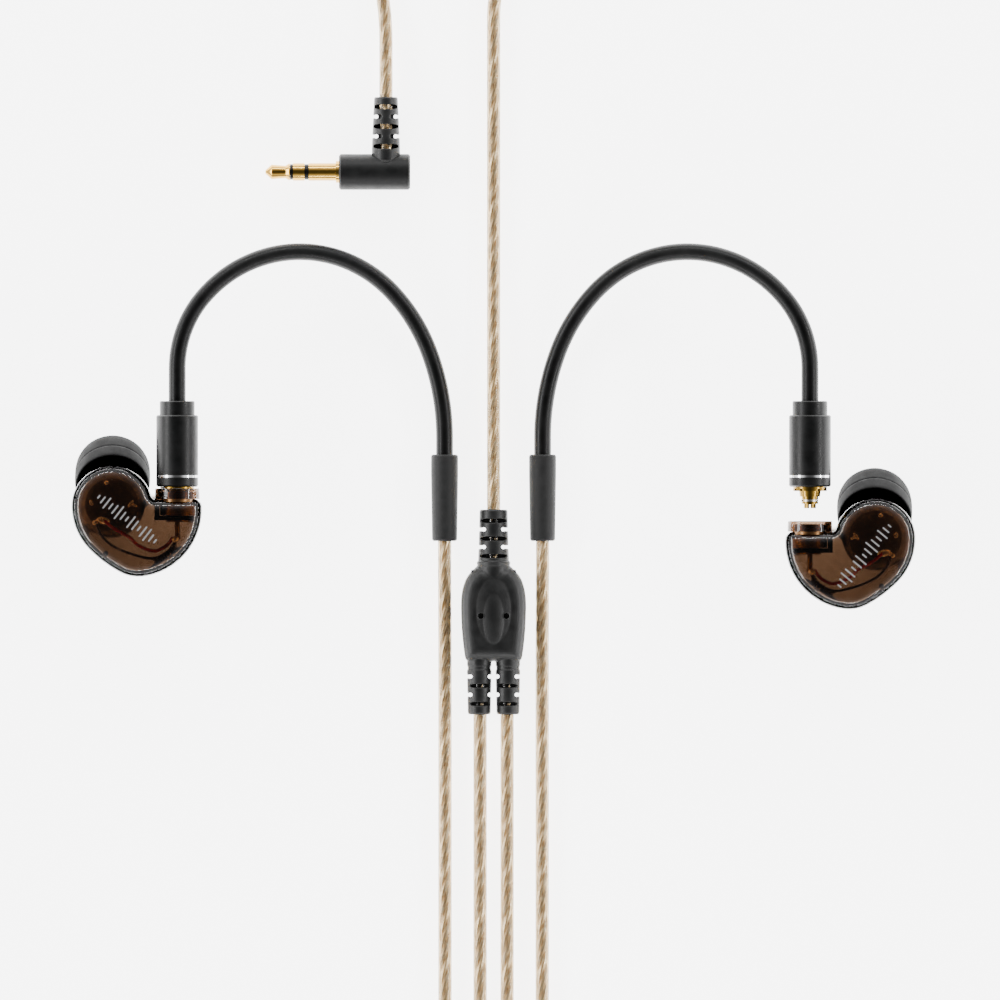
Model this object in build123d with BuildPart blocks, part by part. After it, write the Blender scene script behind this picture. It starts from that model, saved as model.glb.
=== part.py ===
"""A pair of wired in-ear monitors, laid flat on a table with the right earphone pulled off its plug.

Millimetres, +Z up. The table is z = 0, the cable runs along Y and the pair is mirrored about X = 0.
The left earphone is plugged in. The right one lies UNPLUGGED mm further along -Y, clear of its plug.
"""

import math
import os
from build123d import *

# ---------------------------------------------------------------- driving dimensions
UNPLUGGED = 6.44  # how far the right earphone has been drawn off its plug
BARREL_X, BARREL_Z = -62.48, 18.0  # axis of the left connector barrel, parallel to Y
SLEEVE_X, SLEEVE_Z = -9.70, 2.685  # axis of the left hook sleeve, parallel to Y
CORD_D = 2.65  # jacket of the cable
CORD_Z = CORD_D / 2  # the cable's axis where it lies on the table
GLAND_D = 2.75  # bore of every strain relief that the cable runs through

BARREL_TOP, COLLAR_STEP = 15.40, 12.61  # rear end of the collar, and where the barrel proper starts
TRIM_TOP, TRIM_END, NOSE_END = 0.73, 0.28, -1.56  # chrome ring and nose ring, along the barrel
BARREL_R, COLLAR_R, BARREL_BORE_R = 4.145, 3.46, 2.75

HOOK_R, HOOK_BORE_R, HOOK_CABLE_R = 1.70, 1.05, 1.00
HOOK_LOW_END, HOOK_HIGH_END = -5.5, 11.0  # where the hook's tube stops inside the sleeve and barrel
HOOK_RISE = 8.2  # where the tube starts to bend, above the sleeve
HOOK_ARCS = ((46.8, 21.4), (34.9, 23.0), (None, 94.6), (21.3, 41.0))  # radius and turn, sleeve to barrel
SLEEVE_TOP, SLEEVE_END, SLEEVE_TOP_R, SLEEVE_END_R = 4.85, -12.28, 2.685, 2.485

LOBE_X, LOBE_Y, LOBE_R = -75.36, -5.35, 8.0  # round lobe of the heart-shaped housing
SHOULDER_Y = -3.96  # flat shoulder that carries the socket
SEAM_Z, FACE_Z, FLOOR_Z = BARREL_Z, 22.8, 12.0  # parting face, faceplate and ear side of the housing
WALL, FACE_WALL = 1.0, 1.2

NOZZLE_TILT = 28.0  # nozzle leans forward of straight down
NOZZLE_Y, NOZZLE_Z = -1.58, 11.72  # where its axis meets the ear tip's open rim
NOZZLE_R, NOZZLE_LIP_R, NOZZLE_BORE_R = 2.35, 2.50, 1.50
NOZZLE_END, NOZZLE_LIP = 9.2, 1.0
TIP_LENGTH, TIP_R, TIP_STEM_R, TIP_BORE_R = 11.0, 7.45, 3.5, 2.53

DRIVER_X, DRIVER_Y, DRIVER_R = LOBE_X, -5.15, 6.4

SPLIT_AXIS_Z, SPLIT_HEIGHT = 3.4, 6.8
CUT_THROUGH, NOTCH_REACH = 14.0, 2.0  # depth of a cut right through a relief, and reach of a side notch
SPLIT_TOP, SPLIT_NECK, SPLIT_BASE, SPLIT_END = -6.04, -16.1, -36.0, -46.6  # relief, body, body end, legs
LEG_X = 2.67

PLUG_Y, PLUG_Z, PLUG_R = 60.77, 3.55, 3.55  # axis of the jack plug's barrel, parallel to X
PLUG_LEFT, PLUG_RIGHT = -30.6, -16.5
BOOT_X, BOOT_TOP = -21.3, 75.6
JACK_R, SHANK_R = 1.75, 1.55  # 3.5 mm jack, and its slimmer shank inside the housing

COIL_X, COIL_Y, COIL_R = -10.6, 124.0, 14.3  # put-away coil, beyond the jack plug
COIL_HALF_WIDTH, COIL_HEIGHT = 7.5, 5.35

os.makedirs("parts", exist_ok=True)


def save(name, piece):
    """Writes one sub-part under its node name."""
    piece.label = name
    export_step(piece, f"parts/{name}.step")


def save_pair(name, piece, on_earphone=False):
    """Writes the left piece and its mirror image; what is on the right earphone is drawn off the plug."""
    drop = UNPLUGGED if on_earphone else 0.0
    save(f"left_{name}", piece)
    save(f"right_{name}", mirror(piece, about=Plane.YZ).moved(Location((0, -drop, 0))))


def turned(plane, profile):
    """A solid of revolution about the plane's y axis, from (radius, height) corners."""
    with BuildPart() as solid:
        with BuildSketch(plane):
            with BuildLine():
                Polyline(*profile, close=True)
            make_face()
        revolve(axis=Axis(plane.origin, plane.y_dir))
    return solid


def cable_run(points):
    """A cable laid through hand-placed points: straight runs joined by arcs as large as the runs allow."""
    corners = [Vector(*p) for p in points]
    radii = []
    for a, b, c in zip(corners, corners[1:], corners[2:]):
        turn = math.radians((b - a).get_angle(c - b))
        radii.append(0.45 * min((b - a).length, (c - b).length) / math.tan(turn / 2))
    with BuildPart() as cable:
        with BuildLine() as route:
            FilletPolyline(*corners, radius=radii)
        with BuildSketch(Plane(origin=corners[0], z_dir=corners[1] - corners[0])):
            Circle(CORD_D / 2)
        sweep(path=route.wires()[0])
    length = route.wires()[0].length
    expected = math.pi * (CORD_D / 2) ** 2 * length
    print("radii", [round(r, 1) for r in radii], "length", round(length, 1))
    print("volume", round(cable.part.volume, 1), "section x length", round(expected, 1))
    return cable.part


BARREL = Plane(origin=(BARREL_X, 0, BARREL_Z), x_dir=(1, 0, 0), z_dir=(0, 0, 1))
SLEEVE = Plane(origin=(SLEEVE_X, 0, SLEEVE_Z), x_dir=(1, 0, 0), z_dir=(0, 0, 1))
NOZZLE_DIR = Vector(0, math.sin(math.radians(NOZZLE_TILT)), -math.cos(math.radians(NOZZLE_TILT)))
NOZZLE = Plane(origin=(LOBE_X, NOZZLE_Y, NOZZLE_Z), x_dir=(1, 0, 0), z_dir=NOZZLE_DIR.cross(Vector(-1, 0, 0)))

# ---------------------------------------------------------------- connector barrel and its plug
barrel = turned(BARREL, [
    (HOOK_R + 0.02, BARREL_TOP), (COLLAR_R - 0.2, BARREL_TOP), (COLLAR_R, BARREL_TOP - 0.2),
    (COLLAR_R, COLLAR_STEP), (BARREL_R - 0.25, COLLAR_STEP), (BARREL_R, COLLAR_STEP - 0.25),
    (BARREL_R, TRIM_TOP), (BARREL_BORE_R, TRIM_TOP), (BARREL_BORE_R, HOOK_HIGH_END - 0.3),
    (HOOK_R + 0.02, HOOK_HIGH_END - 0.3),
])
save_pair("barrel", barrel.part)

trim_ring = turned(BARREL, [
    (BARREL_BORE_R, TRIM_TOP), (BARREL_R + 0.02, TRIM_TOP), (BARREL_R + 0.02, TRIM_END),
    (BARREL_BORE_R, TRIM_END),
])
save_pair("trim_ring", trim_ring.part)

barrel_nose = turned(BARREL, [
    (BARREL_BORE_R, TRIM_END), (BARREL_R, TRIM_END), (BARREL_R, NOSE_END + 0.3),
    (BARREL_R - 0.3, NOSE_END), (BARREL_BORE_R, NOSE_END),
])
save_pair("barrel_nose", barrel_nose.part)

# Gold-plated coaxial plug: a crown flange, a cone ring, the grooved contact tube and a slotted end.
FLANGE_R, CONE_R, CONTACT_R, PLUG_END_R, PLUG_CORE_R = 3.35, 2.13, 1.65, 1.20, 0.80
FLANGE_TOP, FLANGE_END, CONE_END, CONTACT_END, PLUG_END = -1.58, -2.39, -3.47, -4.91, -5.80
GROOVE_TOP, GROOVE_END, GROOVE_R = -4.05, -4.50, 1.40
with BuildPart() as plug_body:
    with BuildSketch(BARREL):
        with BuildLine():
            Polyline(
                (PLUG_CORE_R, 4.0), (2.70, 4.0), (2.70, FLANGE_TOP), (FLANGE_R, FLANGE_TOP),
                (FLANGE_R, FLANGE_END), (CONE_R, FLANGE_END), (CONE_R - 0.12, CONE_END),
                (CONTACT_R, CONE_END), (CONTACT_R, GROOVE_TOP), (GROOVE_R, GROOVE_TOP),
                (GROOVE_R, GROOVE_END), (CONTACT_R, GROOVE_END), (CONTACT_R, CONTACT_END),
                (PLUG_END_R, CONTACT_END), (PLUG_END_R, PLUG_END), (PLUG_CORE_R, PLUG_END),
                close=True,
            )
        make_face()
    revolve(axis=Axis(BARREL.origin, BARREL.y_dir))
    crown = Plane(origin=(BARREL_X, FLANGE_END, BARREL_Z), x_dir=(1, 0, 0), z_dir=(0, 1, 0))
    with BuildSketch(crown):
        with PolarLocations(FLANGE_R, 12):
            Rectangle(1.1, 0.7)
    extrude(amount=0.45, mode=Mode.SUBTRACT)
    end_face = Plane(origin=(BARREL_X, PLUG_END, BARREL_Z), x_dir=(1, 0, 0), z_dir=(0, 1, 0))
    with BuildSketch(end_face):
        Rectangle(3.0, 0.30)
        Rectangle(0.30, 3.0)
    extrude(amount=0.75, mode=Mode.SUBTRACT)
save_pair("plug_body", plug_body.part)

plug_core = turned(BARREL, [(0, 4.6), (0.35, 4.6), (PLUG_CORE_R, 4.0), (PLUG_CORE_R, -4.95), (0, -4.95)])
save_pair("plug_core", plug_core.part)

with BuildPart() as snap_ring:
    with BuildSketch(BARREL):
        with Locations(((GROOVE_R + 0.04 + CONTACT_R) / 2, (GROOVE_TOP + GROOVE_END) / 2)):
            Rectangle(CONTACT_R - GROOVE_R - 0.04, GROOVE_TOP - GROOVE_END - 0.06)
    revolve(axis=Axis(BARREL.origin, BARREL.y_dir), revolution_arc=310)
save_pair("snap_ring", snap_ring.part)

# ---------------------------------------------------------------- ear hook
# The hook bends in one plane, which leans about Y because the barrel lies higher than the sleeve.
HOOK_SPAN = math.hypot(BARREL_X - SLEEVE_X, BARREL_Z - SLEEVE_Z)
ACROSS = Vector(BARREL_X - SLEEVE_X, 0, BARREL_Z - SLEEVE_Z) / HOOK_SPAN
HOOK = Plane(origin=(SLEEVE_X, 0, SLEEVE_Z), x_dir=ACROSS, z_dir=ACROSS.cross(Vector(0, 1, 0)))


def hook_arcs():
    """The radius and turn of each arc, with the open radius sized so that the arcs close the span."""
    heading, spanned, open_share = 0.0, 0.0, 0.0
    for radius, turn in HOOK_ARCS:
        share = math.cos(math.radians(heading)) - math.cos(math.radians(heading + turn))
        if radius:
            spanned += radius * share
        else:
            open_share = share
        heading += turn
    return [(radius or (HOOK_SPAN - spanned) / open_share, turn) for radius, turn in HOOK_ARCS]


def in_hook_plane(point):
    """A point of the hook's own plane in the frame of the whole part."""
    return HOOK.from_local_coords(point)


def hook_path(low, high):
    """The hook's centreline from its end in the sleeve to a height inside the barrel."""
    at, heading = Vector(0, HOOK_RISE), 0.0
    with BuildLine() as path:
        Line(in_hook_plane(Vector(0, low)), in_hook_plane(at))
        for radius, turn in hook_arcs():
            before, after = math.radians(heading), math.radians(heading + turn)
            middle = (before + after) / 2
            centre = at + Vector(math.cos(before), -math.sin(before)) * radius
            via = centre - Vector(math.cos(middle), -math.sin(middle)) * radius
            end = centre - Vector(math.cos(after), -math.sin(after)) * radius
            ThreePointArc(in_hook_plane(at), in_hook_plane(via), in_hook_plane(end))
            at, heading = end, heading + turn
        Line(in_hook_plane(at), in_hook_plane(Vector(HOOK_SPAN, high)))
    return path.wires()[0]


HOOK_FOOT = Plane(origin=in_hook_plane(Vector(0, HOOK_LOW_END)), z_dir=(0, 1, 0))
tube_path = hook_path(HOOK_LOW_END, HOOK_HIGH_END)
with BuildPart() as hook_tube:
    with BuildSketch(HOOK_FOOT):
        Circle(HOOK_R)
        Circle(HOOK_BORE_R, mode=Mode.SUBTRACT)
    sweep(path=tube_path)
save_pair("hook_tube", hook_tube.part)

core_path = hook_path(HOOK_LOW_END, 4.7)
with BuildPart() as hook_cable:
    with BuildSketch(HOOK_FOOT):
        Circle(HOOK_CABLE_R)
    sweep(path=core_path)
save_pair("hook_cable", hook_cable.part)

with BuildPart() as hook_sleeve:
    with BuildSketch(SLEEVE):
        with BuildLine():
            Polyline(
                (GLAND_D / 2, SLEEVE_END), (SLEEVE_END_R, SLEEVE_END), (SLEEVE_TOP_R, SLEEVE_TOP - 4.0),
                (SLEEVE_TOP_R, SLEEVE_TOP), (HOOK_R + 0.02, SLEEVE_TOP), (HOOK_R + 0.02, HOOK_LOW_END),
                (GLAND_D / 2, HOOK_LOW_END), close=True,
            )
        make_face()
    revolve(axis=Axis(SLEEVE.origin, SLEEVE.y_dir))
    rims = hook_sleeve.edges().filter_by(GeomType.CIRCLE)
    fillet(rims.group_by(Axis.Y)[-1].sort_by(SortBy.RADIUS)[-1], radius=0.5)
    rims = hook_sleeve.edges().filter_by(GeomType.CIRCLE)
    fillet(rims.group_by(Axis.Y)[0].sort_by(SortBy.RADIUS)[-1], radius=0.5)
save_pair("hook_sleeve", hook_sleeve.part)

# ---------------------------------------------------------------- housing
# The flank runs from the lobe round the point and up to the shoulder: radius and turn of each arc.
FLANK_ARCS = ((12.2, 44.7), (25.4, 17.0), (7.7, 36.2), (13.35, 82.1))


def housing_face(inset):
    """The heart-shaped outline: a round lobe, one long flank round the point, and a flat shoulder."""
    left = (LOBE_X - LOBE_R, LOBE_Y)
    top = (LOBE_X, LOBE_Y + LOBE_R)
    notch = (LOBE_X + math.sqrt(LOBE_R**2 - (SHOULDER_Y - LOBE_Y) ** 2), SHOULDER_Y)
    with BuildSketch() as face:
        with BuildLine():
            ThreePointArc(notch, top, left)
            at, heading = Vector(*left), Vector(0, -1)
            for radius, turn in FLANK_ARCS:
                arc = JernArc(at, heading, radius, turn)
                at, heading = arc @ 1, arc % 1
            corner = (at.X, SHOULDER_Y)
            Line(at, corner)
            Line(corner, notch)
        make_face()
        fillet(face.vertices().sort_by_distance(corner)[0], radius=1.6)
        fillet(face.vertices().sort_by_distance(notch)[0], radius=1.0)
        if inset:
            offset(amount=-inset, mode=Mode.REPLACE)
    return face.sketch


OUTLINE = housing_face(0.0)
CAVITY = housing_face(WALL)

# Jack of the coaxial socket: its barrel passes through both shells, its flange is held by the cradle.
JACK_BARREL_R, JACK_FLANGE_R, HOLE_PLAY = 3.10, 3.40, 0.05
CRADLE_X, CRADLE_WIDTH = -62.95, 7.7
JACK_TOP, JACK_FLANGE_TOP, JACK_BOTTOM, BASE_FLANGE_END, BASE_END = -2.55, -5.15, -6.05, -7.19, -8.50

with BuildPart() as outer_shell:
    with BuildSketch(Plane.XY.offset(SEAM_Z)):
        add(OUTLINE)
    extrude(amount=FACE_Z - SEAM_Z)
    fillet(outer_shell.edges().group_by(Axis.Z)[-1], radius=0.9)
    with BuildSketch(Plane.XY.offset(SEAM_Z)):
        add(CAVITY)
    extrude(amount=FACE_Z - SEAM_Z - FACE_WALL, mode=Mode.SUBTRACT)
    with BuildSketch(Plane(origin=(BARREL_X, 0, BARREL_Z), x_dir=(1, 0, 0), z_dir=(0, -1, 0))):
        Circle(JACK_BARREL_R + HOLE_PLAY)
    extrude(amount=-JACK_FLANGE_TOP, mode=Mode.SUBTRACT)
save_pair("outer_shell", outer_shell.part, on_earphone=True)

with BuildPart() as inner_shell:
    with BuildSketch(Plane.XY.offset(FLOOR_Z)):
        add(OUTLINE)
    extrude(amount=SEAM_Z - FLOOR_Z)
    fillet(inner_shell.edges().group_by(Axis.Z)[0], radius=1.5)
    with BuildSketch(NOZZLE):
        with BuildLine():
            Polyline(
                (0, -3.0), (3.6, -3.0), (3.6, -1.2), (NOZZLE_R, 1.0), (NOZZLE_R, NOZZLE_END - NOZZLE_LIP),
                (NOZZLE_LIP_R, NOZZLE_END - NOZZLE_LIP + 0.15), (NOZZLE_LIP_R, NOZZLE_END),
                (0, NOZZLE_END), close=True,
            )
        make_face()
    revolve(axis=Axis(NOZZLE.origin, NOZZLE.y_dir))
    with BuildSketch(Plane.XY.offset(FLOOR_Z + WALL)):
        add(CAVITY)
    extrude(amount=SEAM_Z - FLOOR_Z, mode=Mode.SUBTRACT)
    with BuildSketch(Plane.XY.offset(FLOOR_Z + WALL)):
        with Locations((CRADLE_X, (BASE_END + SHOULDER_Y - WALL) / 2)):
            Rectangle(CRADLE_WIDTH, SHOULDER_Y - WALL - BASE_END)
    extrude(amount=SEAM_Z - FLOOR_Z - WALL)
    with BuildSketch(Plane(origin=(BARREL_X, 0, BARREL_Z), x_dir=(1, 0, 0), z_dir=(0, -1, 0))):
        Circle(JACK_BARREL_R + HOLE_PLAY)
    extrude(amount=-JACK_FLANGE_TOP, mode=Mode.SUBTRACT)
    with BuildSketch(Plane(origin=(BARREL_X, JACK_FLANGE_TOP + 0.02, BARREL_Z), z_dir=(0, -1, 0))):
        Circle(JACK_FLANGE_R + 0.02)
    extrude(amount=4.0, mode=Mode.SUBTRACT)
    with BuildSketch(NOZZLE):
        with Locations((NOZZLE_BORE_R / 2, NOZZLE_END / 2 - 2.0)):
            Rectangle(NOZZLE_BORE_R, NOZZLE_END + 4.2)
    revolve(axis=Axis(NOZZLE.origin, NOZZLE.y_dir), mode=Mode.SUBTRACT)
save_pair("inner_shell", inner_shell.part, on_earphone=True)

with BuildPart() as shell_pins:
    with BuildSketch(Plane.XY.offset(FLOOR_Z + WALL)):
        with Locations((-76.49, -14.65), (-64.39, -14.65)):
            Circle(0.5)
    extrude(amount=FACE_Z - FACE_WALL - FLOOR_Z - WALL)
save_pair("shell_pins", shell_pins.part, on_earphone=True)

MESH_R, MESH_TOP = 2.2, NOZZLE_END + 0.15
nozzle_mesh = turned(NOZZLE, [(0, NOZZLE_END), (MESH_R, NOZZLE_END), (MESH_R, MESH_TOP), (0, MESH_TOP)])
save_pair("nozzle_mesh", nozzle_mesh.part, on_earphone=True)

# Silicone tip: a squarish dome with an open skirt round a stem that grips the nozzle.
with BuildPart() as ear_tip:
    with BuildSketch(NOZZLE):
        with BuildLine():
            Spline((7.2, 0), (TIP_R, 3.6), (7.32, 6.8), (6.35, 9.4), (3.0, TIP_LENGTH))
            Polyline(
                (3.0, TIP_LENGTH), (1.9, TIP_LENGTH), (1.9, 9.8), (TIP_BORE_R, 9.8), (TIP_BORE_R, 1.8),
                (TIP_STEM_R, 1.8), (TIP_STEM_R, 9.5),
            )
            Spline((TIP_STEM_R, 9.5), (5.3, 8.8), (6.5, 6.6), (TIP_R - 0.65, 3.6), (6.6, 0))
            Line((6.6, 0), (7.2, 0))
        make_face()
    revolve(axis=Axis(NOZZLE.origin, NOZZLE.y_dir))
save_pair("ear_tip", ear_tip.part, on_earphone=True)

# ---------------------------------------------------------------- driver, socket and wiring
DRIVER = Plane(origin=(DRIVER_X, DRIVER_Y, 0), x_dir=(1, 0, 0), z_dir=(0, -1, 0))
FRAME_LOW, FRAME_LIP, FRAME_TOP, COVER_TOP = 14.3, 14.7, 17.0, 20.4

LEDGE_R, SEAT_R = DRIVER_R - 1.5, DRIVER_R - 0.7  # opening of the frame, and the seat of the diaphragm
driver_frame = turned(DRIVER, [
    (LEDGE_R, FRAME_LOW), (DRIVER_R, FRAME_LOW), (DRIVER_R, FRAME_TOP), (SEAT_R, FRAME_TOP),
    (SEAT_R, FRAME_LIP), (LEDGE_R, FRAME_LIP),
])
save_pair("driver_frame", driver_frame.part, on_earphone=True)

driver_diaphragm = turned(DRIVER, [
    (0, 15.75), (1.7, 15.60), (3.2, 14.95), (4.4, 15.15), (SEAT_R - 0.05, 14.84), (SEAT_R - 0.05, 14.72),
    (4.4, 15.03), (3.2, 14.83), (1.7, 15.48), (0, 15.63),
])
save_pair("driver_diaphragm", driver_diaphragm.part, on_earphone=True)

driver_magnet = turned(DRIVER, [(0.8, 15.95), (3.6, 15.95), (3.6, COVER_TOP - 0.4), (0.8, COVER_TOP - 0.4)])
save_pair("driver_magnet", driver_magnet.part, on_earphone=True)

driver_cover = turned(DRIVER, [
    (DRIVER_R - 0.5, FRAME_TOP), (DRIVER_R, FRAME_TOP), (DRIVER_R, 18.8), (DRIVER_R - 0.4, 19.7),
    (DRIVER_R - 1.2, 20.25), (DRIVER_R - 2.0, COVER_TOP), (0, COVER_TOP), (0, COVER_TOP - 0.4),
    (DRIVER_R - 2.1, COVER_TOP - 0.4), (DRIVER_R - 1.4, 19.8), (DRIVER_R - 0.8, 19.4), (DRIVER_R - 0.5, 18.7),
])
save_pair("driver_cover", driver_cover.part, on_earphone=True)

socket_collar = turned(BARREL, [
    (3.45, -1.88), (4.28, -1.88), (4.36, -2.0), (4.45, SHOULDER_Y), (JACK_BARREL_R + 0.02, SHOULDER_Y),
    (JACK_BARREL_R + 0.02, JACK_TOP), (3.45, JACK_TOP),
])
save_pair("socket_collar", socket_collar.part, on_earphone=True)

SOCKET_PLAY = 0.05  # radial running clearance between the plug and the socket's bores
SOCKET_R, MOUTH_R, MOUTH_END = CONTACT_R + SOCKET_PLAY, CONE_R + SOCKET_PLAY, CONE_END - SOCKET_PLAY
socket_jack = turned(BARREL, [
    (MOUTH_R, JACK_TOP), (JACK_BARREL_R, JACK_TOP), (JACK_BARREL_R, JACK_FLANGE_TOP),
    (JACK_FLANGE_R, JACK_FLANGE_TOP), (JACK_FLANGE_R, JACK_BOTTOM), (SOCKET_R, JACK_BOTTOM),
    (SOCKET_R, MOUTH_END), (MOUTH_R, MOUTH_END),
])
save_pair("socket_jack", socket_jack.part, on_earphone=True)

# Moulded base that closes the jack and carries its centre post.
BASE_R, POST_R, POST_END = 2.2, 0.5, -11.9
socket_core = turned(BARREL, [
    (0, JACK_BOTTOM), (JACK_FLANGE_R, JACK_BOTTOM), (JACK_FLANGE_R, BASE_FLANGE_END),
    (BASE_R, BASE_FLANGE_END), (BASE_R, BASE_END), (POST_R, BASE_END), (POST_R, POST_END), (0, POST_END),
])
save_pair("socket_core", socket_core.part, on_earphone=True)

WIRE_R, WIRE_BEND = 0.22, 0.8
RED_WIRE = ((-76.2, -9.3, 20.75), (-75.2, -11.2, 20.5), (-72.6, -12.2, 19.6), (-68.6, -12.6, 19.8),
            (-65.8, -11.0, 19.4), (-64.6, -9.0, 18.9))
BLACK_WIRE = ((-78.0, -9.0, 20.75), (-77.3, -12.2, 20.2), (-73.8, -14.0, 19.2), (-70.0, -14.4, 19.8),
              (-66.4, -13.4, 19.4), (-63.2, -12.2, 18.2))
for wire_name, wire_points in (("red_wire", RED_WIRE), ("black_wire", BLACK_WIRE)):
    with BuildPart() as wire:
        with BuildLine() as wire_path:
            FilletPolyline(*wire_points, radius=WIRE_BEND)
        first, second = Vector(*wire_points[0]), Vector(*wire_points[1])
        with BuildSketch(Plane(origin=first, z_dir=second - first)):
            Circle(WIRE_R)
        sweep(path=wire_path.wires()[0])
    save_pair(wire_name, wire.part, on_earphone=True)

# ---------------------------------------------------------------- Y splitter
SPLIT = Plane(origin=(0, 0, SPLIT_AXIS_Z), x_dir=(1, 0, 0), z_dir=(0, 0, 1))
SPLIT_WIDEST, SPLIT_WIDEST_Y, SPLIT_BASE_HALF, SPLIT_CORNER_R = 6.475, -24.35, 5.75, 1.4
SHOULDER_X, SPLIT_SHOULDER_Y, TOP_ROUND, FOOT_ROUND = 3.7, -17.5, 1.3, 0.8
RECESS_TOP_Y, RECESS_TOP_R, RECESS_LOW_Y, RECESS_LOW_R, RECESS_DEPTH = -23.4, 2.9, -31.2, 1.5, 0.4
MARK_X, MARK_Y, MARK_R, MARK_DEPTH = 2.52, -27.1, 0.55, 1.1
CORE_TOP, CORE_END, CORE_WIDTH, CORE_HEIGHT = -18.0, -31.0, 9.0, 3.4
NECK_SLOTS = (-8.22, 3.53, 3, 0.85, 3.3)  # first slot, pitch, count, gap and width
NECK_NOTCHES = (-9.985, 3.53, 2, 0.65, 1.9)  # first pair of side notches, pitch, count, gap and web left
LEG_SLOTS, LEG_NOTCHES = (-40.9, 3.6, 2, 0.85, 2.9), (-39.1, 3.6, 2, 0.65, 1.75)


def cut_relief(x, z, slots, notches):
    """Cuts a strain relief's slots, through the middle, and its notches, in from both sides between them."""
    first, pitch, count, gap, width = slots
    for step in range(count):
        with Locations((x, first - step * pitch, z)):
            Box(width, gap, CUT_THROUGH, mode=Mode.SUBTRACT)
    first, pitch, count, gap, web = notches
    for step in range(count):
        for flank in (-1, 1):
            with Locations((x + flank * (web + NOTCH_REACH / 2), first - step * pitch, z)):
                Box(NOTCH_REACH, gap, CUT_THROUGH, mode=Mode.SUBTRACT)


with BuildPart() as splitter_body:
    with BuildSketch() as plan:
        with BuildLine():
            ThreePointArc((SHOULDER_X, SPLIT_SHOULDER_Y), (5.75, -20.4), (SPLIT_WIDEST, SPLIT_WIDEST_Y))
            ThreePointArc((SPLIT_WIDEST, SPLIT_WIDEST_Y), (6.28, -30.5), (SPLIT_BASE_HALF, SPLIT_BASE))
            Line((SPLIT_BASE_HALF, SPLIT_BASE), (0, SPLIT_BASE))
            Line((SHOULDER_X, SPLIT_SHOULDER_Y), (0, SPLIT_SHOULDER_Y))
            mirror(about=Plane.YZ)
        make_face()
        fillet(plan.vertices().group_by(Axis.Y)[0].filter_by_position(Axis.X, 1, 9), radius=SPLIT_CORNER_R)
        fillet(plan.vertices().filter_by_position(Axis.X, -9, -1).group_by(Axis.Y)[0], radius=SPLIT_CORNER_R)
    extrude(amount=SPLIT_HEIGHT)
    fillet(splitter_body.edges().group_by(Axis.Z)[-1], radius=TOP_ROUND)
    fillet(splitter_body.edges().group_by(Axis.Z)[0], radius=FOOT_ROUND)
    # Neck: the relief that the cable comes out of, and the flange under it.
    with BuildSketch(SPLIT):
        with BuildLine():
            Polyline(
                (0, SPLIT_TOP), (2.2, SPLIT_TOP), (2.65, SPLIT_TOP - 0.2), (2.8, SPLIT_TOP - 0.6),
                (3.05, SPLIT_NECK - 0.3), (3.65, SPLIT_NECK - 0.3), (3.65, -19.0), (0, -19.0), close=True,
            )
        make_face()
    revolve(axis=Axis(SPLIT.origin, SPLIT.y_dir))
    # Legs: one relief for each branch cable.
    for side in (-1, 1):
        with BuildSketch(Plane(origin=(side * LEG_X, 0, SPLIT_AXIS_Z), x_dir=(1, 0, 0), z_dir=(0, 0, 1))):
            with BuildLine():
                Polyline(
                    (0, SPLIT_BASE + 2.0), (2.47, SPLIT_BASE + 2.0), (2.47, SPLIT_BASE - 1.0),
                    (2.25, SPLIT_END + 0.5), (1.95, SPLIT_END), (0, SPLIT_END), close=True,
                )
            make_face()
        revolve(axis=Axis((side * LEG_X, 0, SPLIT_AXIS_Z), (0, 1, 0)))
        with Locations(Location((side * LEG_X, (SPLIT_END + CORE_END) / 2, SPLIT_AXIS_Z), (90, 0, 0))):
            Cylinder(GLAND_D / 2, CORE_END - SPLIT_END + 0.5, mode=Mode.SUBTRACT)
        cut_relief(side * LEG_X, SPLIT_AXIS_Z, LEG_SLOTS, LEG_NOTCHES)
    with Locations(Location((0, (SPLIT_TOP + CORE_TOP) / 2, SPLIT_AXIS_Z), (90, 0, 0))):
        Cylinder(GLAND_D / 2, SPLIT_TOP - CORE_TOP + 0.5, mode=Mode.SUBTRACT)
    cut_relief(0, SPLIT_AXIS_Z, NECK_SLOTS, NECK_NOTCHES)
    # Hollow for the soldered joint, the dished thumb recess and two mould marks.
    with Locations((0, (CORE_TOP + CORE_END) / 2, SPLIT_AXIS_Z)):
        Box(CORE_WIDTH, CORE_TOP - CORE_END, CORE_HEIGHT, mode=Mode.SUBTRACT)
    with BuildSketch(Plane.XY.offset(SPLIT_HEIGHT)):
        with Locations((0, RECESS_TOP_Y)):
            Circle(RECESS_TOP_R)
        with Locations((0, RECESS_LOW_Y)):
            Circle(RECESS_LOW_R)
        make_hull()
    extrude(amount=-RECESS_DEPTH, mode=Mode.SUBTRACT)
    with BuildSketch(Plane.XY.offset(SPLIT_HEIGHT)):
        with Locations((-MARK_X, MARK_Y), (MARK_X, MARK_Y)):
            Circle(MARK_R)
    extrude(amount=-MARK_DEPTH, mode=Mode.SUBTRACT)
save("splitter_body", splitter_body.part)

with BuildPart() as splitter_core:
    with Locations((0, (CORE_TOP + CORE_END) / 2, SPLIT_AXIS_Z)):
        Box(CORE_WIDTH - 0.1, CORE_TOP - CORE_END, CORE_HEIGHT - 0.1)
save("splitter_core", splitter_core.part)

# ---------------------------------------------------------------- right-angle jack plug
JACK = Plane(origin=(0, PLUG_Y, PLUG_Z), x_dir=(0, 1, 0), z_dir=(0, 0, -1))  # its y axis is +X
JACK_TIP, SLEEVE_START, SLEEVE_FACE, JACK_INNER = -45.2, -36.59, -31.2, -26.0
RING_START, RING_STOP = -39.68, -37.42
HOLLOW_R, HOLLOW_END = 2.4, -18.5  # room for the soldered joints inside the housing

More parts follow.
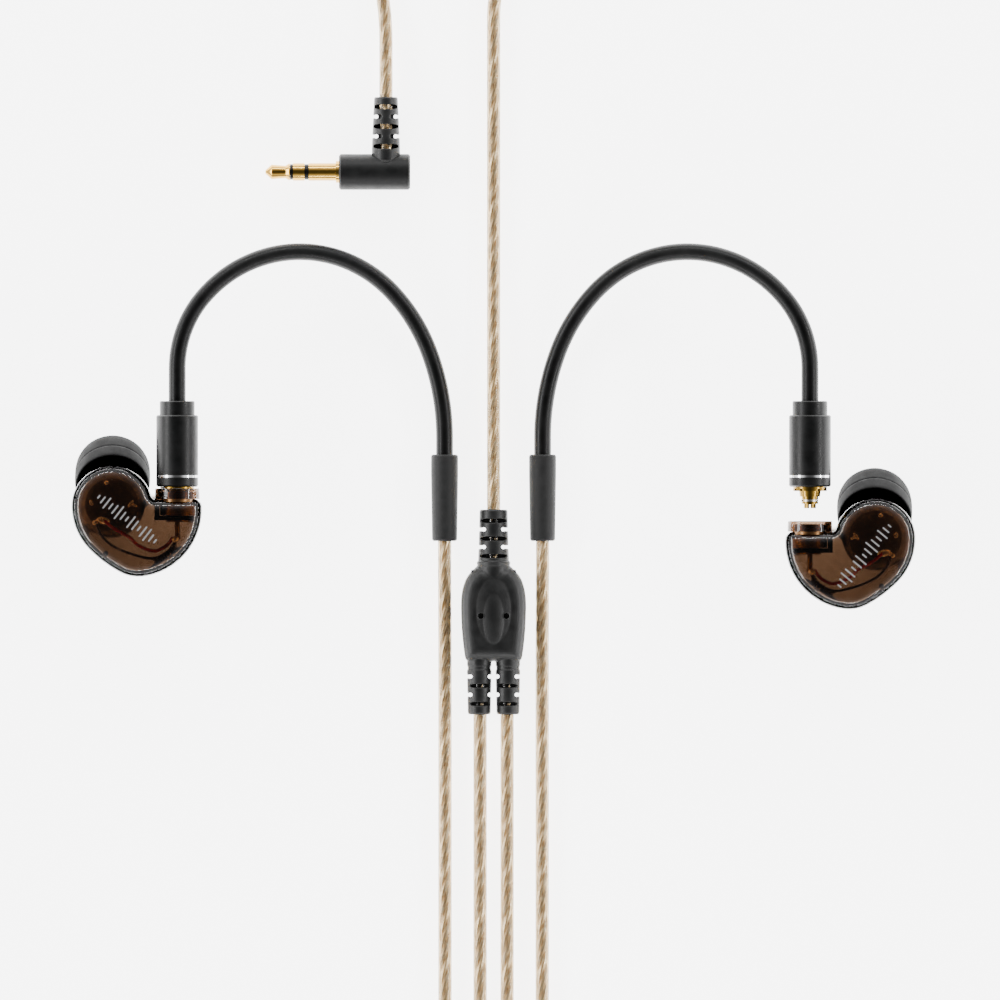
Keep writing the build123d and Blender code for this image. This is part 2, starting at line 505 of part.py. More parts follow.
with BuildPart() as plug_housing:
    with BuildSketch(JACK):
        with BuildLine():
            Polyline(
                (SHANK_R, PLUG_LEFT), (PLUG_R - 0.35, PLUG_LEFT), (PLUG_R, PLUG_LEFT + 0.35),
                (PLUG_R, PLUG_RIGHT - 0.35), (PLUG_R - 0.35, PLUG_RIGHT), (0, PLUG_RIGHT), (0, HOLLOW_END),
                (HOLLOW_R, HOLLOW_END), (HOLLOW_R, JACK_INNER), (SHANK_R, JACK_INNER), close=True,
            )
        make_face()
    revolve(axis=Axis(JACK.origin, JACK.y_dir))
save("plug_housing", plug_housing.part)

plug_sleeve = turned(JACK, [
    (1.25, SLEEVE_START), (JACK_R, SLEEVE_START), (JACK_R, SLEEVE_FACE), (2.175, SLEEVE_FACE),
    (2.175, PLUG_LEFT), (SHANK_R, PLUG_LEFT), (SHANK_R, JACK_INNER), (1.25, JACK_INNER),
])
save("plug_sleeve", plug_sleeve.part)

plug_ring = turned(JACK, [(1.25, RING_START), (JACK_R, RING_START), (JACK_R, RING_STOP), (1.25, RING_STOP)])
save("plug_ring", plug_ring.part)

plug_insulator = turned(JACK, [
    (0.75, -40.30), (SHANK_R, -40.30), (SHANK_R, -39.70), (1.22, -39.70), (1.22, -37.40), (SHANK_R, -37.40),
    (SHANK_R, -36.61), (1.22, -36.61), (1.22, -25.8), (0.75, -25.8),
])
save("plug_insulator", plug_insulator.part)

plug_tip = turned(JACK, [
    (0, JACK_TIP), (0.45, -45.1), (1.1, -44.65), (1.5, -44.0), (1.33, -41.4), (JACK_R, -41.0),
    (JACK_R, -40.32), (0.73, -40.32), (0.73, -25.6), (0, -25.6),
])
save("plug_tip", plug_tip.part)

BOOT_SLOTS, BOOT_NOTCHES = (73.5, 3.92, 3, 1.0, 2.9), (71.54, 3.92, 2, 0.9, 1.6)
with BuildPart() as plug_boot:
    with BuildSketch(Plane(origin=(BOOT_X, 0, PLUG_Z), x_dir=(1, 0, 0), z_dir=(0, 0, 1))):
        with BuildLine():
            Polyline(
                (GLAND_D / 2, BOOT_TOP), (2.0, BOOT_TOP), (2.32, BOOT_TOP - 0.4), (2.8, 64.4), (3.3, 63.2),
                (3.3, 61.0), (GLAND_D / 2, 61.0), close=True,
            )
        make_face()
    revolve(axis=Axis((BOOT_X, 0, PLUG_Z), (0, 1, 0)))
    with Locations(Location((BOOT_X, PLUG_Y, PLUG_Z), (0, 90, 0))):
        Cylinder(PLUG_R, 20, mode=Mode.SUBTRACT)
    cut_relief(BOOT_X, PLUG_Z, BOOT_SLOTS, BOOT_NOTCHES)
save("plug_boot", plug_boot.part)

# ---------------------------------------------------------------- cables
# Each branch runs from the hook's sleeve, out and round a loop on the table, into its splitter leg.
BRANCH = (
    (SLEEVE_X, HOOK_LOW_END, SLEEVE_Z), (SLEEVE_X, -16.5, SLEEVE_Z), (-9.62, -33.0, CORD_Z),
    (-9.62, -110.5, CORD_Z), (-16.0, -122.6, CORD_Z), (-22.8, -131.3, CORD_Z), (-23.7, -141.3, CORD_Z),
    (-17.9, -147.9, CORD_Z), (-9.1, -148.4, CORD_Z), (-LEG_X, -142.4, CORD_Z), (-LEG_X, -78.5, CORD_Z),
    (-LEG_X, -54.0, SPLIT_AXIS_Z), (-LEG_X, CORE_END, SPLIT_AXIS_Z),
)
save_pair("branch_cable", cable_run(BRANCH))

# The main cable leaves the splitter's neck and reaches the coil at its right-hand side.
COIL_START_R, COIL_END_R, COIL_TOP_Z = 20.4, 18.3, 3.975
MAIN = (
    (0, CORE_TOP, SPLIT_AXIS_Z), (0, 2.0, SPLIT_AXIS_Z), (0, 24.5, CORD_Z), (0, 96.0, CORD_Z),
    (3.2, 105.0, CORD_Z), (9.0, 114.0, CORD_Z), (COIL_X + COIL_START_R, COIL_Y, CORD_Z),
)
save("main_cable", cable_run(MAIN))

# The lead leaves the plug's boot and climbs onto the coil at its left-hand side.
LEAD = (
    (BOOT_X, 64.4, PLUG_Z), (BOOT_X, 78.5, PLUG_Z), (BOOT_X, 93.5, CORD_Z), (-24.0, 103.2, 1.7),
    (-28.6, 112.5, 4.3), (COIL_X - COIL_END_R, COIL_Y, COIL_TOP_Z),
)
save("plug_lead", cable_run(LEAD))

with BuildPart() as main_coil:
    with BuildSketch(Plane(origin=(COIL_X, COIL_Y, 0), x_dir=(1, 0, 0), z_dir=(0, -1, 0))):
        with Locations((COIL_R, COIL_HEIGHT / 2)):
            RectangleRounded(2 * COIL_HALF_WIDTH, COIL_HEIGHT, CORD_D / 2)
    revolve(axis=Axis((COIL_X, COIL_Y, 0), (0, 0, 1)))
save("main_coil", main_coil.part)
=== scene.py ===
"""The looks of a pair of wired in-ear monitors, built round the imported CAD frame.

The frame and the cords are in metres. Shapes are written in millimetres, and piece() turns them into metres.
The left earphone is described, and the right one is its mirror image, drawn off its plug along -Y.
"""

import math

import bmesh
import bpy
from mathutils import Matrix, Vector


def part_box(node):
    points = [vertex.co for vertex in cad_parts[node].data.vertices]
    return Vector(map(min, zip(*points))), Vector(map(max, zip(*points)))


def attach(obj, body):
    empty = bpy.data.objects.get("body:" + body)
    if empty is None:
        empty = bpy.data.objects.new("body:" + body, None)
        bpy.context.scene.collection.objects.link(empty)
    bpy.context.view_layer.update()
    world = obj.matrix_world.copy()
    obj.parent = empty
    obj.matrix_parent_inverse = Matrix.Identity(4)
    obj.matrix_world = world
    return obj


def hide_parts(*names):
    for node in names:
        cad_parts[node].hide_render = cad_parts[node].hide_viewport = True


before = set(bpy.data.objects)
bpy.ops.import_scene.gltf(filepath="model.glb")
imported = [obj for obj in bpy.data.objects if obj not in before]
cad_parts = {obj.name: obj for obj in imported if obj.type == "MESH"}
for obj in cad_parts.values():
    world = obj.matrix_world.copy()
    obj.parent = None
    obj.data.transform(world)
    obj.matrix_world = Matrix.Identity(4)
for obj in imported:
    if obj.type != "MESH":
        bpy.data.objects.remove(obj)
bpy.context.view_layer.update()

MM = 0.001
SIDES = ("left", "right")
# How far the right earphone is drawn off its plug.
UNPLUGGED = (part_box("left_ear_tip")[0].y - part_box("right_ear_tip")[0].y) / MM

# ---------------------------------------------------------------- camera and light
VIEW_CENTRE = (0.00127, -0.00416)
VIEW_SPAN, CAMERA_HEIGHT = 0.198, 7.0  # the width of table in the picture, and how far the camera is from it
SENSOR, FARTHEST = 36.0, 100
TENT_STRENGTH, TENT_BLUE = 1.7, 1.01
TENT_STOPS = (  # height on the tent, and how bright it is there
    (0.0, 1.0), (0.55, 1.0), (0.68, 0.80), (0.82, 0.36), (0.92, 0.08), (1.0, 0.04),
)
STRIPS = (  # name, place, length and width, and watts
    ("strip_left", (-1.5, 0.0, 0.85), (2.4, 0.45), 34),
    ("strip_right", (1.5, 0.0, 0.85), (2.4, 0.14), 22),
    ("strip_back", (0.0, 1.5, 0.85), (2.4, 0.12), 18),
    ("strip_front", (0.0, -1.5, 0.85), (2.4, 0.10), 14),
)


def make_camera():
    """Straight down on the table, from far off."""
    data = bpy.data.cameras.new("camera")
    data.sensor_width = SENSOR
    data.lens = SENSOR * CAMERA_HEIGHT / VIEW_SPAN
    data.clip_end = FARTHEST
    camera = bpy.data.objects.new("camera", data)
    camera.location = (*VIEW_CENTRE, CAMERA_HEIGHT)
    bpy.context.scene.collection.objects.link(camera)
    bpy.context.scene.camera = camera


def make_world():
    """A soft light tent: bright round the horizon, and dark overhead, where the camera looks through."""
    world = bpy.data.worlds.new("tent")
    world.use_nodes = True
    bpy.context.scene.world = world
    nodes, links = world.node_tree.nodes, world.node_tree.links
    place = nodes.new("ShaderNodeTexCoord")
    split = nodes.new("ShaderNodeSeparateXYZ")
    ramp = nodes.new("ShaderNodeValToRGB")
    ramp.color_ramp.interpolation = "B_SPLINE"
    while len(ramp.color_ramp.elements) < len(TENT_STOPS):
        ramp.color_ramp.elements.new(0.5)
    for element, (height, level) in zip(ramp.color_ramp.elements, TENT_STOPS):
        element.position = height
        element.color = (level, level, level * TENT_BLUE, 1)
    background = nodes["Background"]
    background.inputs["Strength"].default_value = TENT_STRENGTH
    links.new(place.outputs["Generated"], split.inputs[0])
    links.new(split.outputs["Z"], ramp.inputs["Fac"])
    links.new(ramp.outputs["Color"], background.inputs["Color"])


def make_strip(name, place, size, watts):
    """A strip lamp, its long side level, turned towards the middle of the table."""
    data = bpy.data.lights.new(name, "AREA")
    data.shape = "RECTANGLE"
    data.size, data.size_y = size
    data.energy = watts
    lamp = bpy.data.objects.new(name, data)
    lamp.location = place
    lamp.rotation_euler = (Vector((0, 0, 0)) - Vector(place)).to_track_quat("-Z", "Y").to_euler()
    bpy.context.scene.collection.objects.link(lamp)


make_camera()
make_world()
for strip in STRIPS:
    make_strip(*strip)

# ---------------------------------------------------------------- materials
NOISE_LOW, NOISE_HIGH = 0.3, 0.7  # most of a noise's values lie between these
MIX_FACTOR, MIX_FIRST, MIX_SECOND, MIX_COLOUR = 0, 6, 7, 2  # a Mix node's sockets for colours
TONE_SWING, SHEEN_SWING = (0.8, 1.25), (-0.05, 0.06)  # how a dark finish's tone and roughness change
MARK_PITCH, TARNISH_PITCH, TARNISH = 0.12, 1.4, 0.86  # a metal's tool marks, and its clouds and their tone


def material(name, colour, roughness, metallic=0.0, **sockets):
    """A node material with one shader, whose even values are set on the shader itself."""
    made = bpy.data.materials.new(name)
    made.use_nodes = True
    shader = made.node_tree.nodes["Principled BSDF"]
    shader.inputs["Base Color"].default_value = (*colour, 1)
    shader.inputs["Roughness"].default_value = roughness
    shader.inputs["Metallic"].default_value = metallic
    for socket, value in sockets.items():
        shader.inputs[socket].default_value = value
    return made


def node(made, kind, **inputs):
    """A new node in a material, with some of its inputs set."""
    new = made.node_tree.nodes.new(kind)
    for key, value in inputs.items():
        new.inputs[key.replace("_", " ")].default_value = value
    return new


def link(made, source, target):
    """Joins one socket to another."""
    made.node_tree.links.new(source, target)


def grain(made, pitch, detail=2.0, stretch=(1, 1, 1), coordinates="Object"):
    """Noise whose features are about pitch millimetres wide, stretched by the given factors."""
    place = node(made, "ShaderNodeTexCoord")
    mapping = node(made, "ShaderNodeMapping")
    mapping.inputs["Scale"].default_value = [1 / (pitch * MM * s) for s in stretch]
    noise = node(made, "ShaderNodeTexNoise", Scale=1.0, Detail=detail)
    link(made, place.outputs[coordinates], mapping.inputs["Vector"])
    link(made, mapping.outputs["Vector"], noise.inputs["Vector"])
    return noise.outputs["Fac"]


def spread(made, source, low, high):
    """The middle of a noise's range, spread from low to high."""
    scale = node(made, "ShaderNodeMapRange")
    for key, value in (
        ("From Min", NOISE_LOW), ("From Max", NOISE_HIGH), ("To Min", low), ("To Max", high),
    ):
        scale.inputs[key].default_value = value
    link(made, source, scale.inputs["Value"])
    return scale.outputs["Result"]


def shader_of(made):
    """A material's own shader."""
    return made.node_tree.nodes["Principled BSDF"]


def vary_roughness(made, source, low, high):
    """Changes the roughness by a pattern."""
    link(made, spread(made, source, low, high), shader_of(made).inputs["Roughness"])


def vary_colour(made, source, dark, light):
    """Blends two colours by a pattern."""
    mix = node(made, "ShaderNodeMix")
    mix.data_type = "RGBA"
    mix.inputs[MIX_FIRST].default_value = (*dark, 1)
    mix.inputs[MIX_SECOND].default_value = (*light, 1)
    link(made, spread(made, source, 0, 1), mix.inputs[MIX_FACTOR])
    link(made, mix.outputs[MIX_COLOUR], shader_of(made).inputs["Base Color"])


def bumps(made, *layers):
    """Raises the surface by each (pattern, height in millimetres) in turn."""
    normal = None
    for source, height in layers:
        bump = node(made, "ShaderNodeBump", Distance=height * MM, Strength=1.0)
        link(made, source, bump.inputs["Height"])
        if normal:
            link(made, normal, bump.inputs["Normal"])
        normal = bump.outputs["Normal"]
    link(made, normal, shader_of(made).inputs["Normal"])


def dark_finish(name, level, rough, fine, coarse, relief, sheen=0.25):
    """A black or charcoal finish: fine grain in the surface, and slow changes of tone and sheen."""
    made = material(name, (level, level, level), rough, **{"Specular IOR Level": sheen})
    slow, quick = grain(made, coarse), grain(made, fine, 3.0)
    dark, light = (level * swing for swing in TONE_SWING)
    vary_colour(made, slow, (dark, dark, dark), (light, light, light))
    vary_roughness(made, slow, rough + SHEEN_SWING[0], rough + SHEEN_SWING[1])
    bumps(made, (quick, relief))
    return made


def metal_finish(name, colour, low, high, stretch, relief=0.0015):
    """A turned or plated metal: faint tool marks, stretched as given, and slight tarnish."""
    made = material(name, colour, low, 1.0)
    marks, cloud = grain(made, MARK_PITCH, 2.0, stretch), grain(made, TARNISH_PITCH)
    vary_colour(made, cloud, [c * TARNISH for c in colour], colour)
    vary_roughness(made, marks, low, high)
    bumps(made, (marks, relief))
    return made


def smoke_finish(name, colour, density):
    """Plastic with a brown smoky tint all through it, and the faint flow lines of a moulding."""
    made = material(name, (1, 1, 1), 0.03, **{"Transmission Weight": 1.0, "IOR": 1.49})
    tint = node(made, "ShaderNodeVolumeAbsorption", Color=(*colour, 1), Density=density)
    link(made, tint.outputs[0], made.node_tree.nodes["Material Output"].inputs["Volume"])
    flow, haze = grain(made, 3.5, 2.0, (1, 2.4, 1)), grain(made, 0.5, 3.0)
    vary_colour(made, haze, (0.90, 0.88, 0.86), (1, 1, 1))
    vary_roughness(made, haze, 0.015, 0.07)
    bumps(made, (flow, 0.02))
    return made


# How the tool marks are stretched: rings round X, rings round Y, or even.
ROUND_X, ROUND_Y, EVEN = (0.25, 8, 8), (8, 0.25, 8), (1, 1, 1)
# A dark finish is given its tone, roughness, fine and coarse pitch, relief and sheen.
ANODISED = dark_finish("anodised", 0.0016, 0.36, 0.07, 2.5, 0.004)
TUBING = dark_finish("hook_tubing", 0.0014, 0.34, 0.10, 3.0, 0.004, 0.2)
RUBBER = dark_finish("sleeve_rubber", 0.007, 0.58, 0.14, 1.6, 0.03)
TPE = dark_finish("relief_tpe", 0.0030, 0.42, 0.16, 2.2, 0.022, 0.38)
MOULDED = dark_finish("moulded_black", 0.002, 0.46, 0.12, 2.0, 0.007)
SILICONE = dark_finish("tip_silicone", 0.002, 0.62, 0.12, 2.4, 0.008, 0.08)
INSULATOR = dark_finish("insulator", 0.002, 0.32, 0.10, 1.5, 0.002, 0.2)
CHROME = metal_finish("chrome", (0.92, 0.92, 0.93), 0.06, 0.14, ROUND_Y)
GOLD_X = metal_finish("gold_jack", (0.72, 0.42, 0.08), 0.08, 0.17, ROUND_X)
GOLD_Y = metal_finish("gold_coaxial", (0.34, 0.20, 0.035), 0.12, 0.24, ROUND_Y)
BRONZE = metal_finish("bronze", (0.20, 0.105, 0.045), 0.22, 0.42, ROUND_Y)
STEEL = metal_finish("steel", (0.62, 0.60, 0.57), 0.18, 0.34, EVEN)
TIN = metal_finish("solder_tin", (0.93, 0.70, 0.42), 0.16, 0.36, EVEN, 0.01)
CAN = metal_finish("driver_can", (0.17, 0.12, 0.085), 0.42, 0.60, EVEN)
SMOKE = smoke_finish("smoke_face", (0.40, 0.22, 0.04), 1450)
SMOKE_DEEP = smoke_finish("smoke_back", (0.24, 0.14, 0.04), 3100)


def enamel_finish(name, colour):
    """Lacquer on a fine wire."""
    made = material(name, colour, 0.28, **{"Coat Weight": 0.4})
    flecks = grain(made, 0.25, 3.0)
    vary_colour(made, flecks, [c * 0.7 for c in colour], colour)
    vary_roughness(made, flecks, 0.22, 0.40)
    bumps(made, (flecks, 0.004))
    return made


RED_ENAMEL = enamel_finish("red_enamel", (0.55, 0.02, 0.03))
BLACK_ENAMEL = enamel_finish("plum_enamel", (0.030, 0.010, 0.016))
INK = metal_finish("silver_ink", (0.66, 0.66, 0.66), 0.34, 0.50, EVEN, 0.003)
FILM = enamel_finish("diaphragm_film", (0.20, 0.13, 0.08))


def strand_finish():
    """Plated strands, champagne in colour and finely drawn along their length."""
    made = material("litz_strands", (0.90, 0.74, 0.52), 0.24, 0.6)
    cloud = grain(made, 1.1, 3.0)
    drawn = grain(made, 0.05, 2.0, (30, 1, 1), "UV")
    vary_colour(made, cloud, (0.80, 0.61, 0.37), (0.98, 0.85, 0.63))
    vary_roughness(made, drawn, 0.20, 0.40)
    bumps(made, (drawn, 0.006))
    return made


def jacket_finish():
    """Clear soft jacket: seen through, with the gloss of its outer skin."""
    made = material("clear_jacket", (1, 1, 1), 0.12)
    nodes = made.node_tree.nodes
    nodes.remove(shader_of(made))
    see_through = node(made, "ShaderNodeBsdfTransparent")
    see_through.inputs["Color"].default_value = (0.96, 0.92, 0.84, 1)
    gloss = node(made, "ShaderNodeBsdfGlossy")
    gloss.inputs["Roughness"].default_value = 0.12
    edge = node(made, "ShaderNodeFresnel", IOR=1.45)
    mix = node(made, "ShaderNodeMixShader")
    haze = grain(made, 0.9, 2.0)
    link(made, spread(made, haze, 0.07, 0.17), gloss.inputs["Roughness"])
    bump = node(made, "ShaderNodeBump", Distance=0.01 * MM, Strength=1.0)
    link(made, haze, bump.inputs["Height"])
    link(made, bump.outputs["Normal"], gloss.inputs["Normal"])
    link(made, edge.outputs[0], mix.inputs[0])
    link(made, see_through.outputs[0], mix.inputs[1])
    link(made, gloss.outputs[0], mix.inputs[2])
    link(made, mix.outputs[0], nodes["Material Output"].inputs["Surface"])
    return made


STRANDS, JACKET = strand_finish(), jacket_finish()
FLOOR_GLOW = 5.2


def floor_finish():
    """Pale paper that glows, which keeps it near white."""
    made = material("pale_floor", (0.9, 0.9, 0.9), 0.7, **{"Emission Strength": FLOOR_GLOW})
    shader_of(made).inputs["Emission Color"].default_value = (1, 1, 1, 1)
    paper = grain(made, 30.0)
    vary_colour(made, paper, (0.895, 0.895, 0.895), (0.905, 0.905, 0.905))
    bumps(made, (grain(made, 1.5), 0.01))
    return made


# ---------------------------------------------------------------- mesh helpers
def linked(name, data):
    """A new object in the scene."""
    made = bpy.data.objects.new(name, data)
    bpy.context.scene.collection.objects.link(made)
    return made


def meshed(name, points, faces):
    """A new mesh whose faces all look outwards."""
    mesh = bpy.data.meshes.new(name)
    mesh.from_pydata(points, [], faces)
    shape = bmesh.new()
    shape.from_mesh(mesh)
    bmesh.ops.recalc_face_normals(shape, faces=shape.faces)
    shape.to_mesh(mesh)
    shape.free()
    return mesh


def piece(name, points, faces, finish, body, slot=None, mirrored=False, smooth=35):
    """A mesh that rides on a body. Points are in millimetres, and smooth is in degrees."""
    flip = -1 if mirrored else 1
    mesh = meshed(name, [(x * MM * flip, y * MM, z * MM) for x, y, z in points], faces)
    made = linked(name, mesh)
    mesh.materials.append(finish)
    mesh.shade_smooth()
    if smooth:
        mesh.set_sharp_from_angle(angle=math.radians(smooth))
    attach(made, body)
    return made


def loft(rings, cap_start=False, cap_end=False, loop=False):
    """Points and faces of a skin through rings that all have the same count of points."""
    count, faces = len(rings[0]), []
    points = [p for ring in rings for p in ring]
    spans = len(rings) if loop else len(rings) - 1
    for r in range(spans):
        a, b = r * count, ((r + 1) % len(rings)) * count
        for i in range(count):
            j = (i + 1) % count
            faces.append((a + i, a + j, b + j, b + i))
    if cap_start:
        faces.append(tuple(range(count)))
    if cap_end:
        faces.append(tuple(range((len(rings) - 1) * count, len(rings) * count)))
    return points, faces


def joined(*parts):
    """Several (points, faces) as one."""
    points, faces = [], []
    for some_points, some_faces in parts:
        start = len(points)
        points += some_points
        faces += [tuple(start + i for i in face) for face in some_faces]
    return points, faces


def circle(plane, radius, height, count):
    """A ring about a plane's axis: plane is (origin, x, y, axis)."""
    origin, x, y, axis = plane
    turns = [2 * math.pi * i / count for i in range(count)]
    return [tuple(origin + axis * height + (x * math.cos(t) + y * math.sin(t)) * radius) for t in turns]


def turned(plane, profile, count=96, loop=True):
    """A turned skin through (radius, height) corners; a closed loop makes a solid ring."""
    return loft([circle(plane, radius, height, count) for radius, height in profile], loop=loop)


def earphone(side):
    """The body of one earphone, whether it is mirrored, and how far it is moved along Y."""
    return f"{side}_earphone", side == "right", (-UNPLUGGED if side == "right" else 0.0)


def shifted(points, dy):
    """Points moved along Y."""
    return [(x, y + dy, z) for x, y, z in points]


def temporary(name, points, faces):
    """A closed mesh in millimetres, which only helps to make another."""
    return linked(name, meshed(name, points, faces))


def cut_away(solids, cutters, voxel=None, rounds=0):
    """Solids less cutters. With a voxel size they are run together too, and every edge is softened."""
    body, tool = temporary("solids", *joined(*solids)), temporary("cutters", *joined(*cutters))
    cut = body.modifiers.new("cut", "BOOLEAN")
    cut.operation = "DIFFERENCE"
    cut.solver = "EXACT"
    cut.use_self = bool(voxel)
    cut.object = tool
    if voxel:
        even = body.modifiers.new("even", "REMESH")
        even.mode = "VOXEL"
        even.voxel_size = voxel
        soften = body.modifiers.new("soften", "SMOOTH")
        soften.factor = 0.5
        soften.iterations = rounds
    bpy.context.view_layer.update()
    mesh = bpy.data.meshes.new_from_object(body.evaluated_get(bpy.context.evaluated_depsgraph_get()))
    shape = [tuple(v.co) for v in mesh.vertices], [tuple(face.vertices) for face in mesh.polygons]
    bpy.data.meshes.remove(mesh)
    for helper in (body, tool):
        bpy.data.meshes.remove(helper.data)
    return shape


X, Y, Z = Vector((1, 0, 0)), Vector((0, 1, 0)), Vector((0, 0, 1))


def prism(plan, low, high):
    """A closed upright solid over a plan of (x, y) points."""
    return loft([[(x, y, low) for x, y in plan], [(x, y, high) for x, y in plan]], True, True)


def along_y(x, z):
    """The plane of something turned about a line along Y."""
    return Vector((x, 0, z)), X, Z, Y


def along_x(x, y, z):
    """The plane of something turned about a line along X."""
    return Vector((x, y, z)), Y, Z, X


def upright(x, y, z):
    """The plane of something turned about an upright line."""
    return Vector((x, y, z)), X, Y, Z


def rod(plane, profile, count=64):
    """A closed turned solid through (radius, height) corners."""
    return loft([circle(plane, radius, height, count) for radius, height in profile], True, True)


DISH_ROWS, DISH_AROUND = 32, 64


def dish(centre, radii):
    """An ellipsoid: a tool to press a hollow with, or a lump."""
    rings = []
    for step in range(1, DISH_ROWS):
        rise = math.pi * step / DISH_ROWS - math.pi / 2
        rings.append([
            (
                centre[0] + radii[0] * math.cos(rise) * math.cos(2 * math.pi * i / DISH_AROUND),
                centre[1] + radii[1] * math.cos(rise) * math.sin(2 * math.pi * i / DISH_AROUND),
                centre[2] + radii[2] * math.sin(rise),
            )
            for i in range(DISH_AROUND)
        ])
    return loft(rings, True, True)


# ---------------------------------------------------------------- cords
# The routes' points, in metres. The cord's own line is the smooth spline that they control.
CORD_D = 0.00265
BRANCH = (
    (-0.00970, -0.0055, 0.002685), (-0.00970, -0.0165, 0.002685), (-0.00962, -0.0330, 0.001325),
    (-0.00962, -0.0495, 0.001325), (-0.00962, -0.0968, 0.001325), (-0.00962, -0.1105, 0.001325),
    (-0.0160, -0.1226, 0.001325), (-0.0228, -0.1313, 0.001325), (-0.0237, -0.1413, 0.001325),
    (-0.0179, -0.1479, 0.001325), (-0.0091, -0.1484, 0.001325), (-0.00267, -0.1424, 0.001325),
    (-0.00267, -0.1336, 0.001325), (-0.00267, -0.0785, 0.001325), (-0.00267, -0.0540, 0.0034),
    (-0.00267, -0.0310, 0.0034),
)
MAIN = (
    (0.0, -0.0180, 0.0034), (0.0, 0.0020, 0.0034), (0.0, 0.0245, 0.001325), (0.0, 0.0865, 0.001325),
    (0.0, 0.0960, 0.001325), (0.0032, 0.1050, 0.001325), (0.0090, 0.1140, 0.001325),
)
LEAD = (
    (-0.0286, 0.1125, 0.0043), (-0.0240, 0.1032, 0.0017), (-0.0213, 0.0935, 0.001325),
    (-0.0213, 0.0785, 0.00355), (-0.0213, 0.0644, 0.00355),
)
COIL_CENTRE = (-0.0106, 0.1240)
COIL_ROWS = (  # radius at its start and end, height, and turns of each row
    (0.0204, 0.00825, 0.001325, 4.5),
    (0.00825, 0.0183, 0.003975, 3.0),
)
POINTS_PER_TURN = 16


def coil_points():
    """A neat coil of two rows: in along the table, then out again on top of it."""
    points, start_turn = [], 0.0
    for start, end, height, turns in COIL_ROWS:
        steps = round(turns * POINTS_PER_TURN)
        for step in range(steps):
            share = step / steps
            radius = start + (end - start) * share
            angle = 2 * math.pi * (start_turn + turns * share)
            across, up = radius * math.cos(angle), radius * math.sin(angle)
            points.append((COIL_CENTRE[0] + across, COIL_CENTRE[1] + up, height))
        start_turn += turns
    points.append((COIL_CENTRE[0] - COIL_ROWS[-1][1], COIL_CENTRE[1], COIL_ROWS[-1][2]))
    return points


def cord_curve(name, route, body):
    """The jacket: one open spline of a cord's real diameter."""
    data = bpy.data.curves.new(name, "CURVE")
    data.dimensions = "3D"
    data.bevel_depth = CORD_D / 2
    data.bevel_resolution = 5
    data.resolution_u = 10
    data.use_fill_caps = True
    spline = data.splines.new("NURBS")
    spline.points.add(len(route) - 1)
    for point, place in zip(spline.points, route):
        point.co = (*place, 1)
    spline.order_u = 3
    spline.use_endpoint_u = True
    made = linked(name, data)
    data.materials.append(JACKET)
    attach(made, body)
    return made


def centreline(curve):
    """The points of a cord's own smooth line, in metres."""
    bare = bpy.data.objects.new("bare", curve.data.copy())
    bare.data.bevel_depth = 0
    mesh = bpy.data.meshes.new_from_object(bare)
    line = [v.co.copy() for v in mesh.vertices]
    bpy.data.meshes.remove(mesh)
    bpy.data.curves.remove(bare.data)
    return line


def resampled(line, step):
    """Points about step apart along a line, each with its direction and its distance from the start."""
    along, out, index = [0.0], [], 0
    for a, b in zip(line, line[1:]):
        along.append(along[-1] + (b - a).length)
    count = int(along[-1] / step)
    for i in range(count + 1):
        at = along[-1] * i / count
        while index < len(line) - 2 and along[index + 1] < at:
            index += 1
        share = (at - along[index]) / max(along[index + 1] - along[index], 1e-12)
        out.append((line[index].lerp(line[index + 1], share), at))
    places = [p for p, _ in out]
    aheads = [places[min(i + 1, count)] - places[max(i - 1, 0)] for i in range(count + 1)]
    return [(p, d.normalized(), at) for (p, at), d in zip(out, aheads)]


CONDUCTORS, LAY = 4, 12.8 * MM  # twisted conductors in a cord, and the length of one turn
BUNDLE_R, CONDUCTOR_R = 0.72 * MM, 0.575 * MM
RIBS, RIB_HEIGHT, RIB_TWIST = 6, 0.085 * MM, 2.2 * math.pi  # on a conductor, with a twist of their own
SEEN, HIDDEN = (0.00045, 36), (0.0008, 12)  # step along a bundle and points round a conductor


def strands(name, line, start, end, body, step, around):
    """The twisted litz bundle of a cord, from one distance along it to another."""
    stations = [s for s in resampled(line, step) if start <= s[2] <= end]
    points, faces, coordinates = [], [], []
    across = stations[0][1].orthogonal().normalized()
    for place, ahead, at in stations:
        across = (across - ahead * across.dot(ahead)).normalized()
        other = ahead.cross(across)
        for k in range(CONDUCTORS):
            turn = 2 * math.pi * (at / LAY + k / CONDUCTORS)
            outward = across * math.cos(turn) + other * math.sin(turn)
            beside = ahead.cross(outward)
            centre = place + outward * BUNDLE_R
            for i in range(around):
                angle = 2 * math.pi * i / around
                ripple = math.cos(RIBS * (angle + RIB_TWIST * at / LAY))
                radius = CONDUCTOR_R + RIB_HEIGHT * (ripple - 1)
                points.append(centre + (outward * math.cos(angle) + beside * math.sin(angle)) * radius)
                coordinates.append((at, angle * CONDUCTOR_R))
    ring = CONDUCTORS * around
    for r in range(len(stations) - 1):
        for k in range(CONDUCTORS):
            first = r * ring + k * around
            for i in range(around):
                j = (i + 1) % around
                faces.append((first + i, first + j, first + ring + j, first + ring + i))
    made = piece(name, [p / MM for p in points], faces, STRANDS, body, "clear_cable", smooth=None)
    layer = made.data.uv_layers.new(name="along")
    for loop in made.data.loops:
        layer.data[loop.index].uv = coordinates[loop.vertex_index]
    return made


for side in SIDES:
    flip = -1 if side == "right" else 1
    route = [(x * flip, y, z) for x, y, z in BRANCH]
    jacket = cord_curve(f"{side}_branch_cord", route, "cable")
    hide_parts(f"{side}_branch_cable")
    bundle = strands(f"{side}_branch_strands", centreline(jacket), 0.0, 1.0, "cable", *SEEN)

